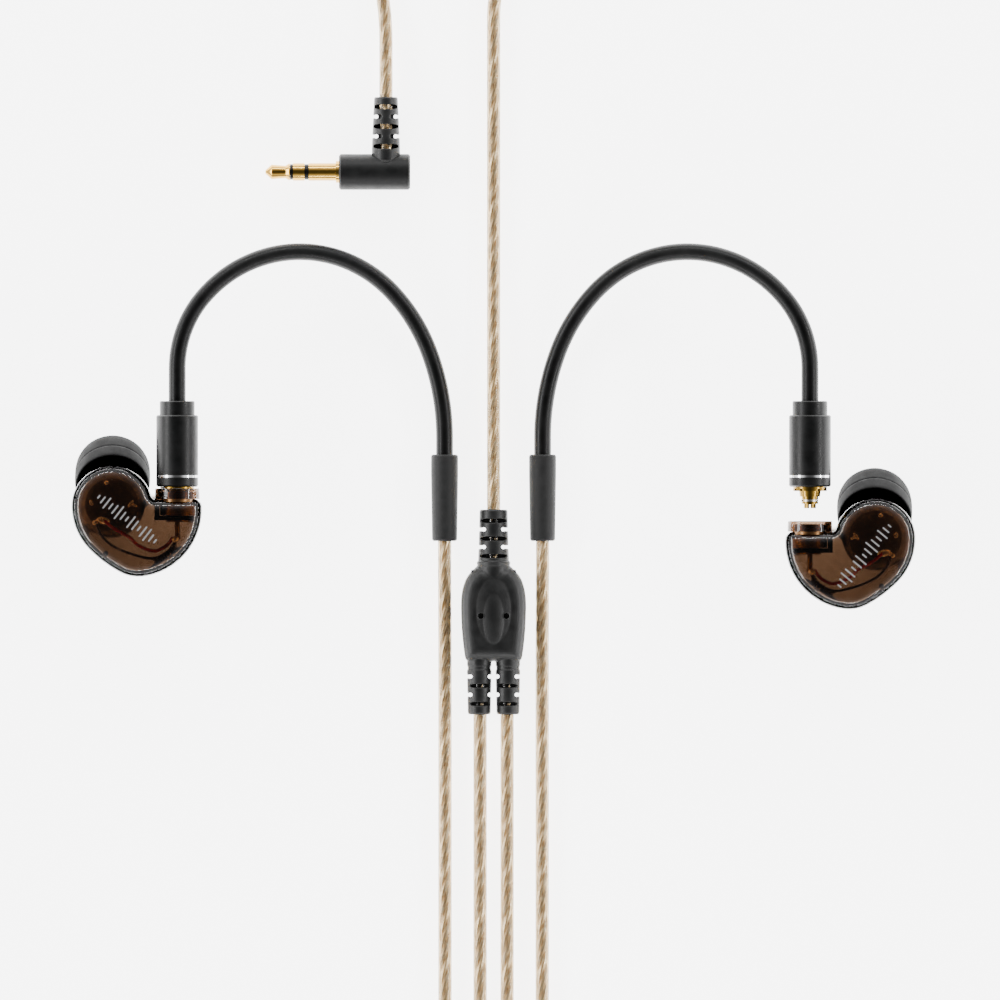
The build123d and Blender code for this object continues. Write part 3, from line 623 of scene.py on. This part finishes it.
main_route = [*MAIN, *coil_points(), *LEAD]
main_jacket = cord_curve("main_cord", main_route, "cable")
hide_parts("main_cable", "main_coil", "plug_lead")
main_line = centreline(main_jacket)
whole = sum((b - a).length for a, b in zip(main_line, main_line[1:]))
# How much of the cord has fine strands at its two ends, and how far the coil's strands run into them.
TO_COIL, FROM_COIL, OVERLAP = 0.115, 0.045, 0.001
COIL_START, COIL_END = TO_COIL - OVERLAP, whole - FROM_COIL + OVERLAP
main_strands = [
    strands("main_strands", main_line, 0.0, TO_COIL, "cable", *SEEN),
    strands("coil_strands", main_line, COIL_START, COIL_END, "cable", *HIDDEN),
    strands("lead_strands", main_line, whole - FROM_COIL, whole, "cable", *SEEN),
]

# ---------------------------------------------------------------- housing
LOBE_X, LOBE_Y, LOBE_R = -75.36, -5.35, 8.0
SHOULDER_Y, CORNER_R, CREASE_R = -3.96, 1.6, 1.0
SMALLEST_CORNER = 0.35
FLANK_ARCS = ((12.2, 44.7), (25.4, 17.0), (7.7, 36.2), (13.35, 82.1))  # radius, and degrees of turn
FLANK_STEPS, CORNER_STEPS, SHOULDER_STEPS, LOBE_STEPS = 26, 10, 14, 52
FACE_LOW, FACE_Z = 18.46, 22.8
NOZZLE_TILT, NOZZLE_Y, NOZZLE_Z = 28.0, -1.58, 11.72


def arc(centre, radius, start, end, count):
    """Points along an arc, from start to end in radians, without the last one."""
    turns = [start + (end - start) * i / count for i in range(count)]
    return [(centre[0] + radius * math.cos(t), centre[1] + radius * math.sin(t)) for t in turns]


def outline(inset, height):
    """The heart-shaped outline, drawn in by inset: a lobe, a flank of tangent arcs and a flat shoulder."""
    at, heading = Vector((LOBE_X - LOBE_R, LOBE_Y)), -math.pi / 2
    points, arcs = [], []
    for radius, turn in FLANK_ARCS:
        inward = Vector((-math.sin(heading), math.cos(heading)))
        centre = at + inward * radius
        start = heading - math.pi / 2
        heading += math.radians(turn)
        arcs.append((centre, radius - inset, start, heading - math.pi / 2))
        at = centre + Vector((math.cos(heading - math.pi / 2), math.sin(heading - math.pi / 2))) * radius
    shoulder = SHOULDER_Y - inset
    corner_r, crease_r = max(CORNER_R - inset, SMALLEST_CORNER), CREASE_R + inset
    last_centre, last_r, last_start, _ = arcs[-1]
    corner_y = shoulder - corner_r
    corner_x = last_centre.x + math.sqrt((last_r - corner_r) ** 2 - (corner_y - last_centre.y) ** 2)
    meet = math.atan2(corner_y - last_centre.y, corner_x - last_centre.x)
    arcs[-1] = (last_centre, last_r, last_start, meet)
    for centre, radius, start, end in arcs:
        points += arc(centre, radius, start, end, FLANK_STEPS)
    points += arc((corner_x, corner_y), corner_r, meet, math.pi / 2, CORNER_STEPS)
    lobe_r = LOBE_R - inset
    crease_y = shoulder + crease_r
    crease_x = LOBE_X + math.sqrt((lobe_r + crease_r) ** 2 - (crease_y - LOBE_Y) ** 2)
    joint = math.atan2(crease_y - LOBE_Y, crease_x - LOBE_X)
    run = crease_x - corner_x
    points += [(corner_x + run * i / SHOULDER_STEPS, shoulder) for i in range(SHOULDER_STEPS)]
    points += arc((crease_x, crease_y), crease_r, -math.pi / 2, joint - math.pi, CORNER_STEPS)
    points += arc((LOBE_X, LOBE_Y), lobe_r, joint, math.pi, LOBE_STEPS)
    return [(x, y, height) for x, y in points]


def nozzle_plane():
    """The plane of the nozzle, which points down and leans towards +Y."""
    tilt = math.radians(NOZZLE_TILT)
    axis = Vector((0, math.sin(tilt), -math.cos(tilt)))
    return Vector((LOBE_X, NOZZLE_Y, NOZZLE_Z)), X, axis.cross(X), axis


NOZZLE = nozzle_plane()


def nozzle_ring(radius, height, like):
    """A ring about the nozzle's axis, whose points face those of an outline."""
    origin, x, y, axis = NOZZLE
    ring = []
    for px, py, _ in like:
        angle = math.atan2(py - NOZZLE_Y, px - LOBE_X)
        ring.append(tuple(origin + axis * height + (x * math.cos(angle) - y * math.sin(angle)) * radius))
    return ring


def belly(start, end, steps):
    """Rings that swell from an outline round to the nozzle, like the quarter of an ellipse."""
    rings = []
    for step in range(1, steps):
        turn = math.pi / 2 * step / steps
        inward, down = 1 - math.cos(turn), math.sin(turn)
        rings.append([
            (a[0] + (b[0] - a[0]) * inward, a[1] + (b[1] - a[1]) * inward, a[2] + (b[2] - a[2]) * down)
            for a, b in zip(start, end)
        ])
    return rings


# The housing's walls, each as insets of the outline and heights.
FACE_OUTER = (
    (0.66, FACE_LOW), (0.60, FACE_LOW + 0.06), (0.60, 21.86), (0.64, 21.91), (0.82, 22.08), (1.05, 22.28),
    (1.32, 22.46), (1.65, 22.61), (2.05, 22.72), (2.5, 22.78), (3.0, FACE_Z),
)
FACE_INNER = ((1.40, FACE_LOW), (1.44, FACE_LOW + 0.1), (1.44, 21.55), (1.49, 21.6))
BACK_OUTER = (
    (0.66, 18.35), (0.40, 18.40), (0.16, 18.22), (0.03, 17.8), (0.0, 17.1), (0.05, 15.6), (0.15, 14.4),
)
BACK_INNER = ((1.30, 18.2), (1.15, 17.9), (1.10, 15.2))
# The nozzle, as radii and heights along its axis: up its outside, over its lip and down its bore.
NECK_PROFILE = (
    (3.25, -0.25), (2.85, 0.2), (2.5, 0.8), (2.36, 1.6), (2.35, 8.1), (2.5, 8.3), (2.5, 9.05), (2.4, 9.2),
    (1.62, 9.2), (1.52, 9.1), (1.5, 8.6), (1.5, 0.6), (1.8, -0.6),
)
NECK_BASE, HOLLOW_BASE = (3.7, -0.6), (2.8, -1.5)  # where the belly's outside and inside reach the nozzle
BELLY_STEPS, HOLLOW_STEPS = 12, 10
SOCKET_X, SOCKET_Z = -62.48, 18.0
SOCKET_HOLE = ((3.16, -6.3), (3.16, -2.0))  # radius and place along Y
FINE_ROUND = 96


def make_shells(side):
    """The smoky face half, and the deeper back half with its nozzle, both bored for the socket."""
    body, mirrored, dy = earphone(side)
    hole = rod(along_y(SOCKET_X, SOCKET_Z), SOCKET_HOLE, FINE_ROUND)
    outer = [outline(inset, z) for inset, z in reversed(FACE_OUTER)]
    inner = [outline(inset, z) for inset, z in FACE_INNER]
    points, faces = cut_away([loft(outer + inner, cap_start=True, cap_end=True)], [hole])
    face = piece(f"{side}_face_shell", shifted(points, dy), faces, SMOKE, body, "smoke_shell", mirrored)
    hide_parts(f"{side}_outer_shell")
    rim = [outline(inset, z) for inset, z in BACK_OUTER]
    base = nozzle_ring(*NECK_BASE, rim[-1])
    neck = [nozzle_ring(radius, height, rim[-1]) for radius, height in NECK_PROFILE]
    hollow = [outline(inset, z) for inset, z in BACK_INNER]
    inner_base = nozzle_ring(*HOLLOW_BASE, rim[-1])
    rings = rim + belly(rim[-1], base, BELLY_STEPS) + [base] + neck + [inner_base]
    rings += list(reversed(belly(hollow[-1], inner_base, HOLLOW_STEPS))) + list(reversed(hollow))
    points, faces = cut_away([loft(rings, loop=True)], [hole])
    back = piece(f"{side}_back_shell", shifted(points, dy), faces, SMOKE_DEEP, body, "smoke_shell", mirrored)
    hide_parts(f"{side}_inner_shell")


for side in SIDES:
    make_shells(side)

# ---------------------------------------------------------------- soft mouldings
# Half a front slot's plan, in shares of its half width and half height.
LENS = ((-1.0, 0.35), (-0.78, 0.8), (-0.45, 1.0), (0.45, 1.0), (0.78, 0.8), (1.0, 0.35))
NOTCH_WEB = 1.5  # from the middle of a relief to the inner end of its side notches
NOTCH_HALF, NOTCH_MOUTH = 0.30, 1.35  # half a notch's height, and how many times wider its mouth is
EYE_R, EYE_STEPS = 0.42, 16
CUT_BOTTOM, CUT_TOP = -1, 9  # below and above all the mouldings


def slot_plan(x, y, half_width, half_height):
    """A front slot, which narrows towards its ends."""
    low = [(x + half_width * across, y - half_height * up) for across, up in LENS]
    high = [(x + half_width * across, y + half_height * up) for across, up in reversed(LENS)]
    return low + high


def notch_plan(x, y, side, reach):
    """A side notch: open to the outside, with a round eye at its inner end."""
    lean = math.asin(NOTCH_HALF / EYE_R)
    turns = [-lean - (2 * math.pi - 2 * lean) * step / EYE_STEPS for step in range(EYE_STEPS + 1)]
    curve = [(x + side * (NOTCH_WEB + EYE_R + EYE_R * math.cos(t)), y + EYE_R * math.sin(t)) for t in turns]
    outside = x + side * reach
    return [(outside, y - NOTCH_HALF * NOTCH_MOUTH), *curve, (outside, y + NOTCH_HALF * NOTCH_MOUTH)]


def relief_cutters(x, slots, notches, reach, half_width, half_height, floor):
    """The front slots, down to their floor, and the notches right through both sides."""
    cutters = [prism(slot_plan(x, y, half_width, half_height), floor, CUT_TOP) for y in slots]
    for y in notches:
        for side in (-1, 1):
            cutters.append(prism(notch_plan(x, y, side, reach), CUT_BOTTOM, CUT_TOP))
    return cutters


SPLIT_Z, SPLIT_SLOT_Z = 3.4, 0.95  # the height of the cords in the splitter, and of the slots' floor over it
LEG_X, LEG_SHAPE_X = 2.67, 2.84  # the middle of a leg's cord, and of its moulding
NECK_SLOTS, NECK_NOTCHES = (-8.24, -11.78, -15.25), (-9.98, -13.47)
LEG_SLOTS, LEG_NOTCHES = (-40.9, -44.5), (-39.1, -42.7)
SPLIT_PLAN = (
    (3.5, -17.4), (4.0, -17.9), (4.6, -18.5), (5.15, -19.2), (5.6, -20.0), (5.95, -21.0), (6.25, -22.2),
    (6.42, -23.6), (6.47, -25.2), (6.42, -27.4), (6.30, -29.9), (6.10, -32.0), (5.88, -33.9), (5.72, -35.0),
    (5.55, -35.65), (5.15, -36.0), (4.4, -36.08), (2.0, -36.08),
)
SPLIT_MIDDLE_Y, SPLIT_HALF_WIDTH, SPLIT_HALF_LENGTH = -27.0, 6.47, 9.1
SPLIT_LEVELS = (  # height and inset: the rounded foot, the flank, and the rounding up to the top
    (0.02, 1.1), (0.25, 0.55), (0.8, 0.15), (1.6, 0.0), (4.2, 0.0), (4.9, 0.08), (5.5, 0.30), (5.95, 0.62),
    (6.25, 0.95), (6.5, 1.35), (6.67, 1.8), (6.77, 2.3), (6.8, 3.0),
)
SPLIT_NECK = (  # radius and place along Y, like the leg's and the boot's
    (1.6, -6.04), (2.62, -6.06), (2.78, -6.35), (2.84, -9.4), (2.95, -13.0), (3.06, -15.9), (3.0, -16.2),
    (3.3, -16.35), (3.36, -16.7), (3.2, -17.0), (3.36, -17.3), (3.38, -19.5),
)
SPLIT_LEG = (
    (1.5, -46.62), (2.12, -46.55), (2.28, -46.2), (2.40, -40.0), (2.44, -38.6), (2.44, -37.9), (2.28, -37.6),
    (2.28, -37.2), (2.42, -36.9), (2.42, -34.5),
)
SPLIT_HOLLOWS = (((0, -26.0, 8.8), (5.6, 10.4, 2.6)), ((0, -26.9, 8.1), (3.4, 7.4, 2.15)))  # centre, radii
DOT_X, DOT_Y, DOT_Z = 2.52, -27.1, 5.3
DOT = ((0.56, 0), (0.56, 3))


def split_ring(height, inset):
    """The body's plan, drawn in on every side."""
    narrower, shorter = 1 - inset / SPLIT_HALF_WIDTH, 1 - inset / SPLIT_HALF_LENGTH
    half = [(x * narrower, SPLIT_MIDDLE_Y + (y - SPLIT_MIDDLE_Y) * shorter) for x, y in SPLIT_PLAN]
    ring = half + [(-x, y) for x, y in reversed(half)]
    return [(x, y, height) for x, y in ring]


def make_splitter():
    """The moulding where the cable divides: a body with two dots in its hollow, and three slotted reliefs."""
    solids = [loft([split_ring(z, inset) for z, inset in SPLIT_LEVELS], True, True)]
    solids.append(rod(along_y(0, SPLIT_Z), SPLIT_NECK))
    floor = SPLIT_Z + SPLIT_SLOT_Z
    cutters = relief_cutters(
        0, NECK_SLOTS, NECK_NOTCHES, reach=4, half_width=2.62, half_height=0.38, floor=floor,
    )
    for side in (-1, 1):
        solids.append(rod(along_y(side * LEG_SHAPE_X, SPLIT_Z), SPLIT_LEG))
        cutters += relief_cutters(
            side * LEG_X, LEG_SLOTS, LEG_NOTCHES, reach=2.75, half_width=1.95, half_height=0.36, floor=floor,
        )
    cutters += [dish(centre, radii) for centre, radii in SPLIT_HOLLOWS]
    cutters += [rod(upright(side * DOT_X, DOT_Y, DOT_Z), DOT, 32) for side in (-1, 1)]
    points, faces = cut_away(solids, cutters, voxel=0.13, rounds=3)
    body = piece("splitter_moulding", points, faces, TPE, "cable", "splitter_tpe", smooth=None)
    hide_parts("splitter_body")


PLUG_Y, PLUG_Z, BOOT_X = 60.77, 3.55, -21.3
BOOT_SLOTS, BOOT_NOTCHES, BOOT_SLOT_Z = (73.65, 69.75, 65.8), (71.7, 67.8), -0.3
BOOT_PROFILE = (
    (1.5, 75.6), (2.22, 75.56), (2.34, 75.3), (2.50, 72.2), (2.62, 69.6), (2.72, 67.4), (2.80, 65.0),
    (2.80, 63.2),
)
BOOT_EYE_X, BOOT_EYE_Z = 1.2, 5.2
BOOT_EYE = ((EYE_R, 0), (EYE_R, 3))
PLUG_BARREL = ((3.42, -6), (3.42, 6))
APRON_HALF = ((0.0, 62.62), (0.35, 62.66), (0.75, 62.84), (1.9, 63.66), (2.72, 64.2), (2.8, 64.42))
APRON_LAYERS = ((3.44, 1.0, 0.0), (3.62, 1.0, 0.0), (3.71, 0.93, 0.09))  # radius, share of the width, shift
APRON_SHIFT_Y, APRON_BEND = 64.3, 3.4  # where the shift ends, and how far round the barrel the apron bends


def make_boot():
    """The jack's slotted relief, and the rounded point in which it runs onto the plug's barrel."""
    relief = rod(along_y(BOOT_X, PLUG_Z), BOOT_PROFILE)
    floor = PLUG_Z + BOOT_SLOT_Z
    cutters = relief_cutters(
        BOOT_X, BOOT_SLOTS, BOOT_NOTCHES, reach=4, half_width=2.45, half_height=0.47, floor=floor,
    )
    for y in BOOT_NOTCHES:
        for side in (-1, 1):
            cutters.append(rod(upright(BOOT_X + side * BOOT_EYE_X, y, BOOT_EYE_Z), BOOT_EYE, 24))
    cutters.append(rod(along_x(BOOT_X, PLUG_Y, PLUG_Z), PLUG_BARREL, FINE_ROUND))
    points, faces = cut_away([relief], cutters, voxel=0.11, rounds=3)
    boot = piece("plug_boot_moulding", points, faces, TPE, "cable", "splitter_tpe", smooth=None)
    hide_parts("plug_boot")
    skin = []
    for radius, across, shift in APRON_LAYERS:
        ring = [(x * across, y + shift * (1 if y < APRON_SHIFT_Y else 0)) for x, y in APRON_HALF]
        ring += [(-x, y) for x, y in reversed(ring[1:])]
        skin.append([
            (BOOT_X + x, y, PLUG_Z + math.sqrt(radius ** 2 - min(y - PLUG_Y, APRON_BEND) ** 2))
            for x, y in ring
        ])
    apron = piece("plug_boot_apron", *loft(skin, True, True), TPE, "cable", "splitter_tpe")
    return [boot, apron]


JACK_TIP = (  # radius and place along X
    (0.26, -45.18), (0.36, -45.14), (1.40, -44.02), (1.46, -43.86), (1.24, -41.28), (1.28, -41.10),
    (1.60, -40.66), (1.68, -40.50), (1.68, -40.32), (0.73, -40.32), (0.73, -25.6),
)


def make_plug_tip():
    """The jack's pointed tip: a cone, a waist, and the flare behind it."""
    points, faces = rod(along_x(0, PLUG_Y, PLUG_Z), JACK_TIP, FINE_ROUND)
    tip = piece("plug_tip_turned", points, faces, GOLD_X, "cable", "gold_plate", smooth=25)
    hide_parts("plug_tip")
    return tip


make_splitter()
plug_pieces = [*make_boot(), make_plug_tip()]

# ---------------------------------------------------------------- ear tips
# Radii and heights along the nozzle's axis: from the skirt's hem over the dome, and back through the bore.
TIP_OUTSIDE = (
    (7.02, 0.10), (7.05, -0.02), (7.14, -0.06), (7.24, 0.00), (7.30, 0.16), (7.36, 0.9), (7.42, 2.0),
    (7.45, 3.0), (7.45, 3.42), (7.40, 3.47), (7.40, 3.53), (7.45, 3.58), (7.45, 4.2), (7.44, 5.2),
    (7.40, 6.4), (7.28, 7.5), (7.02, 8.5), (6.60, 9.35), (6.00, 10.05), (5.10, 10.62), (4.00, 10.92),
    (2.80, 11.0), (2.15, 10.95), (1.92, 10.78), (1.90, 10.4),
)
TIP_INSIDE = (
    (1.90, 9.8), (2.53, 9.8), (2.53, 1.9), (2.70, 1.75), (3.30, 1.75), (3.50, 1.95), (3.50, 8.6), (3.75, 9.3),
    (4.40, 9.5), (5.30, 9.0), (6.05, 7.9), (6.60, 6.3), (6.82, 4.4), (6.90, 2.6), (6.97, 1.0),
)


def make_tip(side):
    """The silicone dome with its skirt, and the stem that grips the nozzle."""
    _, mirrored, dy = earphone(side)
    points, faces = turned(NOZZLE, TIP_OUTSIDE + TIP_INSIDE, 128)
    points = shifted(points, dy)
    body = f"{side}_tip"
    tip = piece(f"{side}_silicone_tip", points, faces, SILICONE, body, "tip_silicone", mirrored, smooth=50)
    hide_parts(f"{side}_ear_tip")


for side in SIDES:
    make_tip(side)

# ---------------------------------------------------------------- inside the housing, and its print
RED_ROUTE = (
    (-76.76, -8.3, 20.85), (-75.0, -9.73, 20.9), (-73.3, -10.7, 20.6), (-71.77, -11.6, 20.1),
    (-70.0, -13.2, 17.5), (-67.1, -14.2, 15.0), (-64.8, -13.2, 14.6), (-63.4, -11.6, 15.6),
)
BLACK_ROUTE = (
    (-78.3, -8.9, 20.75), (-77.6, -10.9, 19.6), (-75.2, -13.2, 16.4), (-71.4, -14.8, 14.2),
    (-67.4, -15.6, 13.8), (-64.5, -14.3, 13.9), (-63.0, -12.4, 15.2),
)
LEADS = (  # name, route, radius, finish and slot
    ("red", RED_ROUTE, 0.34, RED_ENAMEL, "red_enamel"),
    ("black", BLACK_ROUTE, 0.26, BLACK_ENAMEL, "black_enamel"),
)
SOLDER = (  # centre, radii, and degrees turned about the vertical
    ((-77.06, -8.2, 20.5), (1.35, 0.72, 0.5), -12), ((-78.6, -8.6, 20.4), (0.6, 0.5, 0.35), 20),
    ((-79.4, -4.7, 20.4), (0.42, 0.62, 0.22), 15), ((-76.4, -0.8, 20.3), (0.5, 0.4, 0.25), 0),
    ((-71.6, -4.9, 20.4), (0.9, 0.34, 0.2), 50), ((-71.0, -5.2, 20.4), (0.6, 0.28, 0.2), -20),
    ((-62.9, -11.9, 18.3), (0.75, 0.6, 0.6), 30),
)
BRACKET = (  # the low and high corners of its two walls
    ((-66.95, -8.15, 14.2), (-66.0, -4.98, 21.4)), ((-66.0, -8.15, 14.2), (-59.1, -7.3, 21.2)),
)
LEAD_STEPS = 8


def smooth_line(points, steps):
    """A soft line that runs through points, each of its curves steered by the four nearest."""
    line, count = [], len(points)
    for i in range(count - 1):
        a, b, c, d = (Vector(points[min(max(i + k, 0), count - 1)]) for k in (-1, 0, 1, 2))
        slope, bend, twist = c - a, 2 * a - 5 * b + 4 * c - d, 3 * b - a - 3 * c + d
        for step in range(steps):
            t = step / steps
            line.append(0.5 * (2 * b + slope * t + bend * t * t + twist * t ** 3))
    return [*line, Vector(points[-1])]


def tube(line, radius, around=16):
    """A closed tube along a line."""
    rings, across = [], None
    for i, place in enumerate(line):
        ahead = (line[min(i + 1, len(line) - 1)] - line[max(i - 1, 0)]).normalized()
        across = ahead.orthogonal() if across is None else across - ahead * across.dot(ahead)
        across = across.normalized()
        rings.append(circle((place, across, ahead.cross(across), ahead), radius, 0, around))
    return loft(rings, True, True)


def blob(centre, radii, turn):
    """A lump of solder, turned about the vertical."""
    points, faces = dish((0, 0, 0), radii)
    c, s = math.cos(math.radians(turn)), math.sin(math.radians(turn))
    turned_points = [
        (centre[0] + x * c - y * s, centre[1] + x * s + y * c, centre[2] + z) for x, y, z in points
    ]
    return turned_points, faces


def box(low, high):
    """A block between two corners."""
    plan = [(low[0], low[1]), (high[0], low[1]), (high[0], high[1]), (low[0], high[1])]
    return prism(plan, low[2], high[2])


def make_inside(side):
    """What shows through the shell: the driver's leads and solder, and the socket's bracket."""
    body, mirrored, dy = earphone(side)
    for name, route, radius, finish, slot in LEADS:
        points, faces = tube(smooth_line(route, LEAD_STEPS), radius)
        lead = piece(f"{side}_{name}_lead", shifted(points, dy), faces, finish, body, slot, mirrored)
        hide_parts(f"{side}_{name}_wire")
    points, faces = joined(*(blob(*lump) for lump in SOLDER))
    piece(f"{side}_solder", shifted(points, dy), faces, TIN, body, "gold_plate", mirrored)
    points, faces = joined(*(box(*wall) for wall in BRACKET))
    piece(f"{side}_socket_bracket", shifted(points, dy), faces, MOULDED, body, "black_polymer", mirrored)


# Where each print starts and ends, and the lengths of its bars.
PRINT_LINES = {"left": ((-78.3, -3.2), (-66.4, -12.6)), "right": ((-78.5, -2.4), (-67.9, -15.1))}
PRINT_BARS = (0.9, 1.7, 2.7, 1.5, 2.2, 3.2, 2.0, 1.2, 2.9, 2.3, 1.3, 2.6, 3.0, 1.8, 1.0)
BAR_HALF, BAR_END_STEPS = 0.17, 6
PRINT_SUNK, PRINT_HEIGHT = 0.002, 0.03


def bar_plan(centre, along, across, length):
    """A short stroke with round ends."""
    points = []
    for end, first in ((1, -90), (-1, 90)):
        for step in range(BAR_END_STEPS + 1):
            turn = math.radians(first + 180 * step / BAR_END_STEPS)
            out = across * (end * (length / 2 - BAR_HALF)) + across * (math.cos(turn) * BAR_HALF)
            points.append(centre + out + along * (math.sin(turn) * BAR_HALF))
    return [(p.x, p.y) for p in points]


def make_print(side):
    """A row of bars like a sound level, instead of any lettering."""
    body, mirrored, dy = earphone(side)
    start, end = (Vector(p) for p in PRINT_LINES[side])
    along = (end - start).normalized()
    across = Vector((-along.y, along.x))
    low, high = FACE_Z - PRINT_SUNK, FACE_Z + PRINT_HEIGHT
    bars = []
    for i, length in enumerate(PRINT_BARS):
        centre = start.lerp(end, (i + 0.5) / len(PRINT_BARS))
        bars.append(prism(bar_plan(centre, along, across, length), low, high))
    points, faces = joined(*bars)
    piece(f"{side}_print", shifted(points, dy), faces, INK, body, "chrome_trim", mirrored)


for side in SIDES:
    make_inside(side)
    make_print(side)

# ---------------------------------------------------------------- CAD nodes that keep their shape
SIDE_FINISHES = {
    "barrel": ANODISED, "barrel_nose": ANODISED, "trim_ring": CHROME,
    "plug_body": GOLD_Y, "plug_core": INSULATOR, "snap_ring": STEEL,
    "hook_tube": TUBING, "hook_cable": STRANDS, "hook_sleeve": RUBBER,
    "shell_pins": CAN, "nozzle_mesh": STEEL,
    "driver_frame": CAN, "driver_diaphragm": FILM, "driver_magnet": STEEL, "driver_cover": CAN,
    "socket_collar": SMOKE, "socket_jack": BRONZE, "socket_core": BRONZE,
}
SINGLE_FINISHES = {
    "splitter_core": MOULDED, "plug_housing": MOULDED,
    "plug_sleeve": GOLD_X, "plug_ring": GOLD_X, "plug_insulator": INSULATOR,
}


def dress(name, finish):
    """Gives a CAD node its material."""
    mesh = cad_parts[name].data
    mesh.materials.clear()
    mesh.materials.append(finish)


for name, finish in SIDE_FINISHES.items():
    for side in SIDES:
        dress(f"{side}_{name}", finish)
for name, finish in SINGLE_FINISHES.items():
    dress(name, finish)

# ---------------------------------------------------------------- floor and finish
FLOOR_HALF = 8.0
floor_corners = [(x * FLOOR_HALF, y * FLOOR_HALF, 0) for x, y in ((-1, -1), (1, -1), (1, 1), (-1, 1))]
floor_mesh = bpy.data.meshes.new("floor")
floor_mesh.from_pydata(floor_corners, [], [(0, 1, 2, 3)])
floor_mesh.materials.append(floor_finish())
floor = linked("floor", floor_mesh)
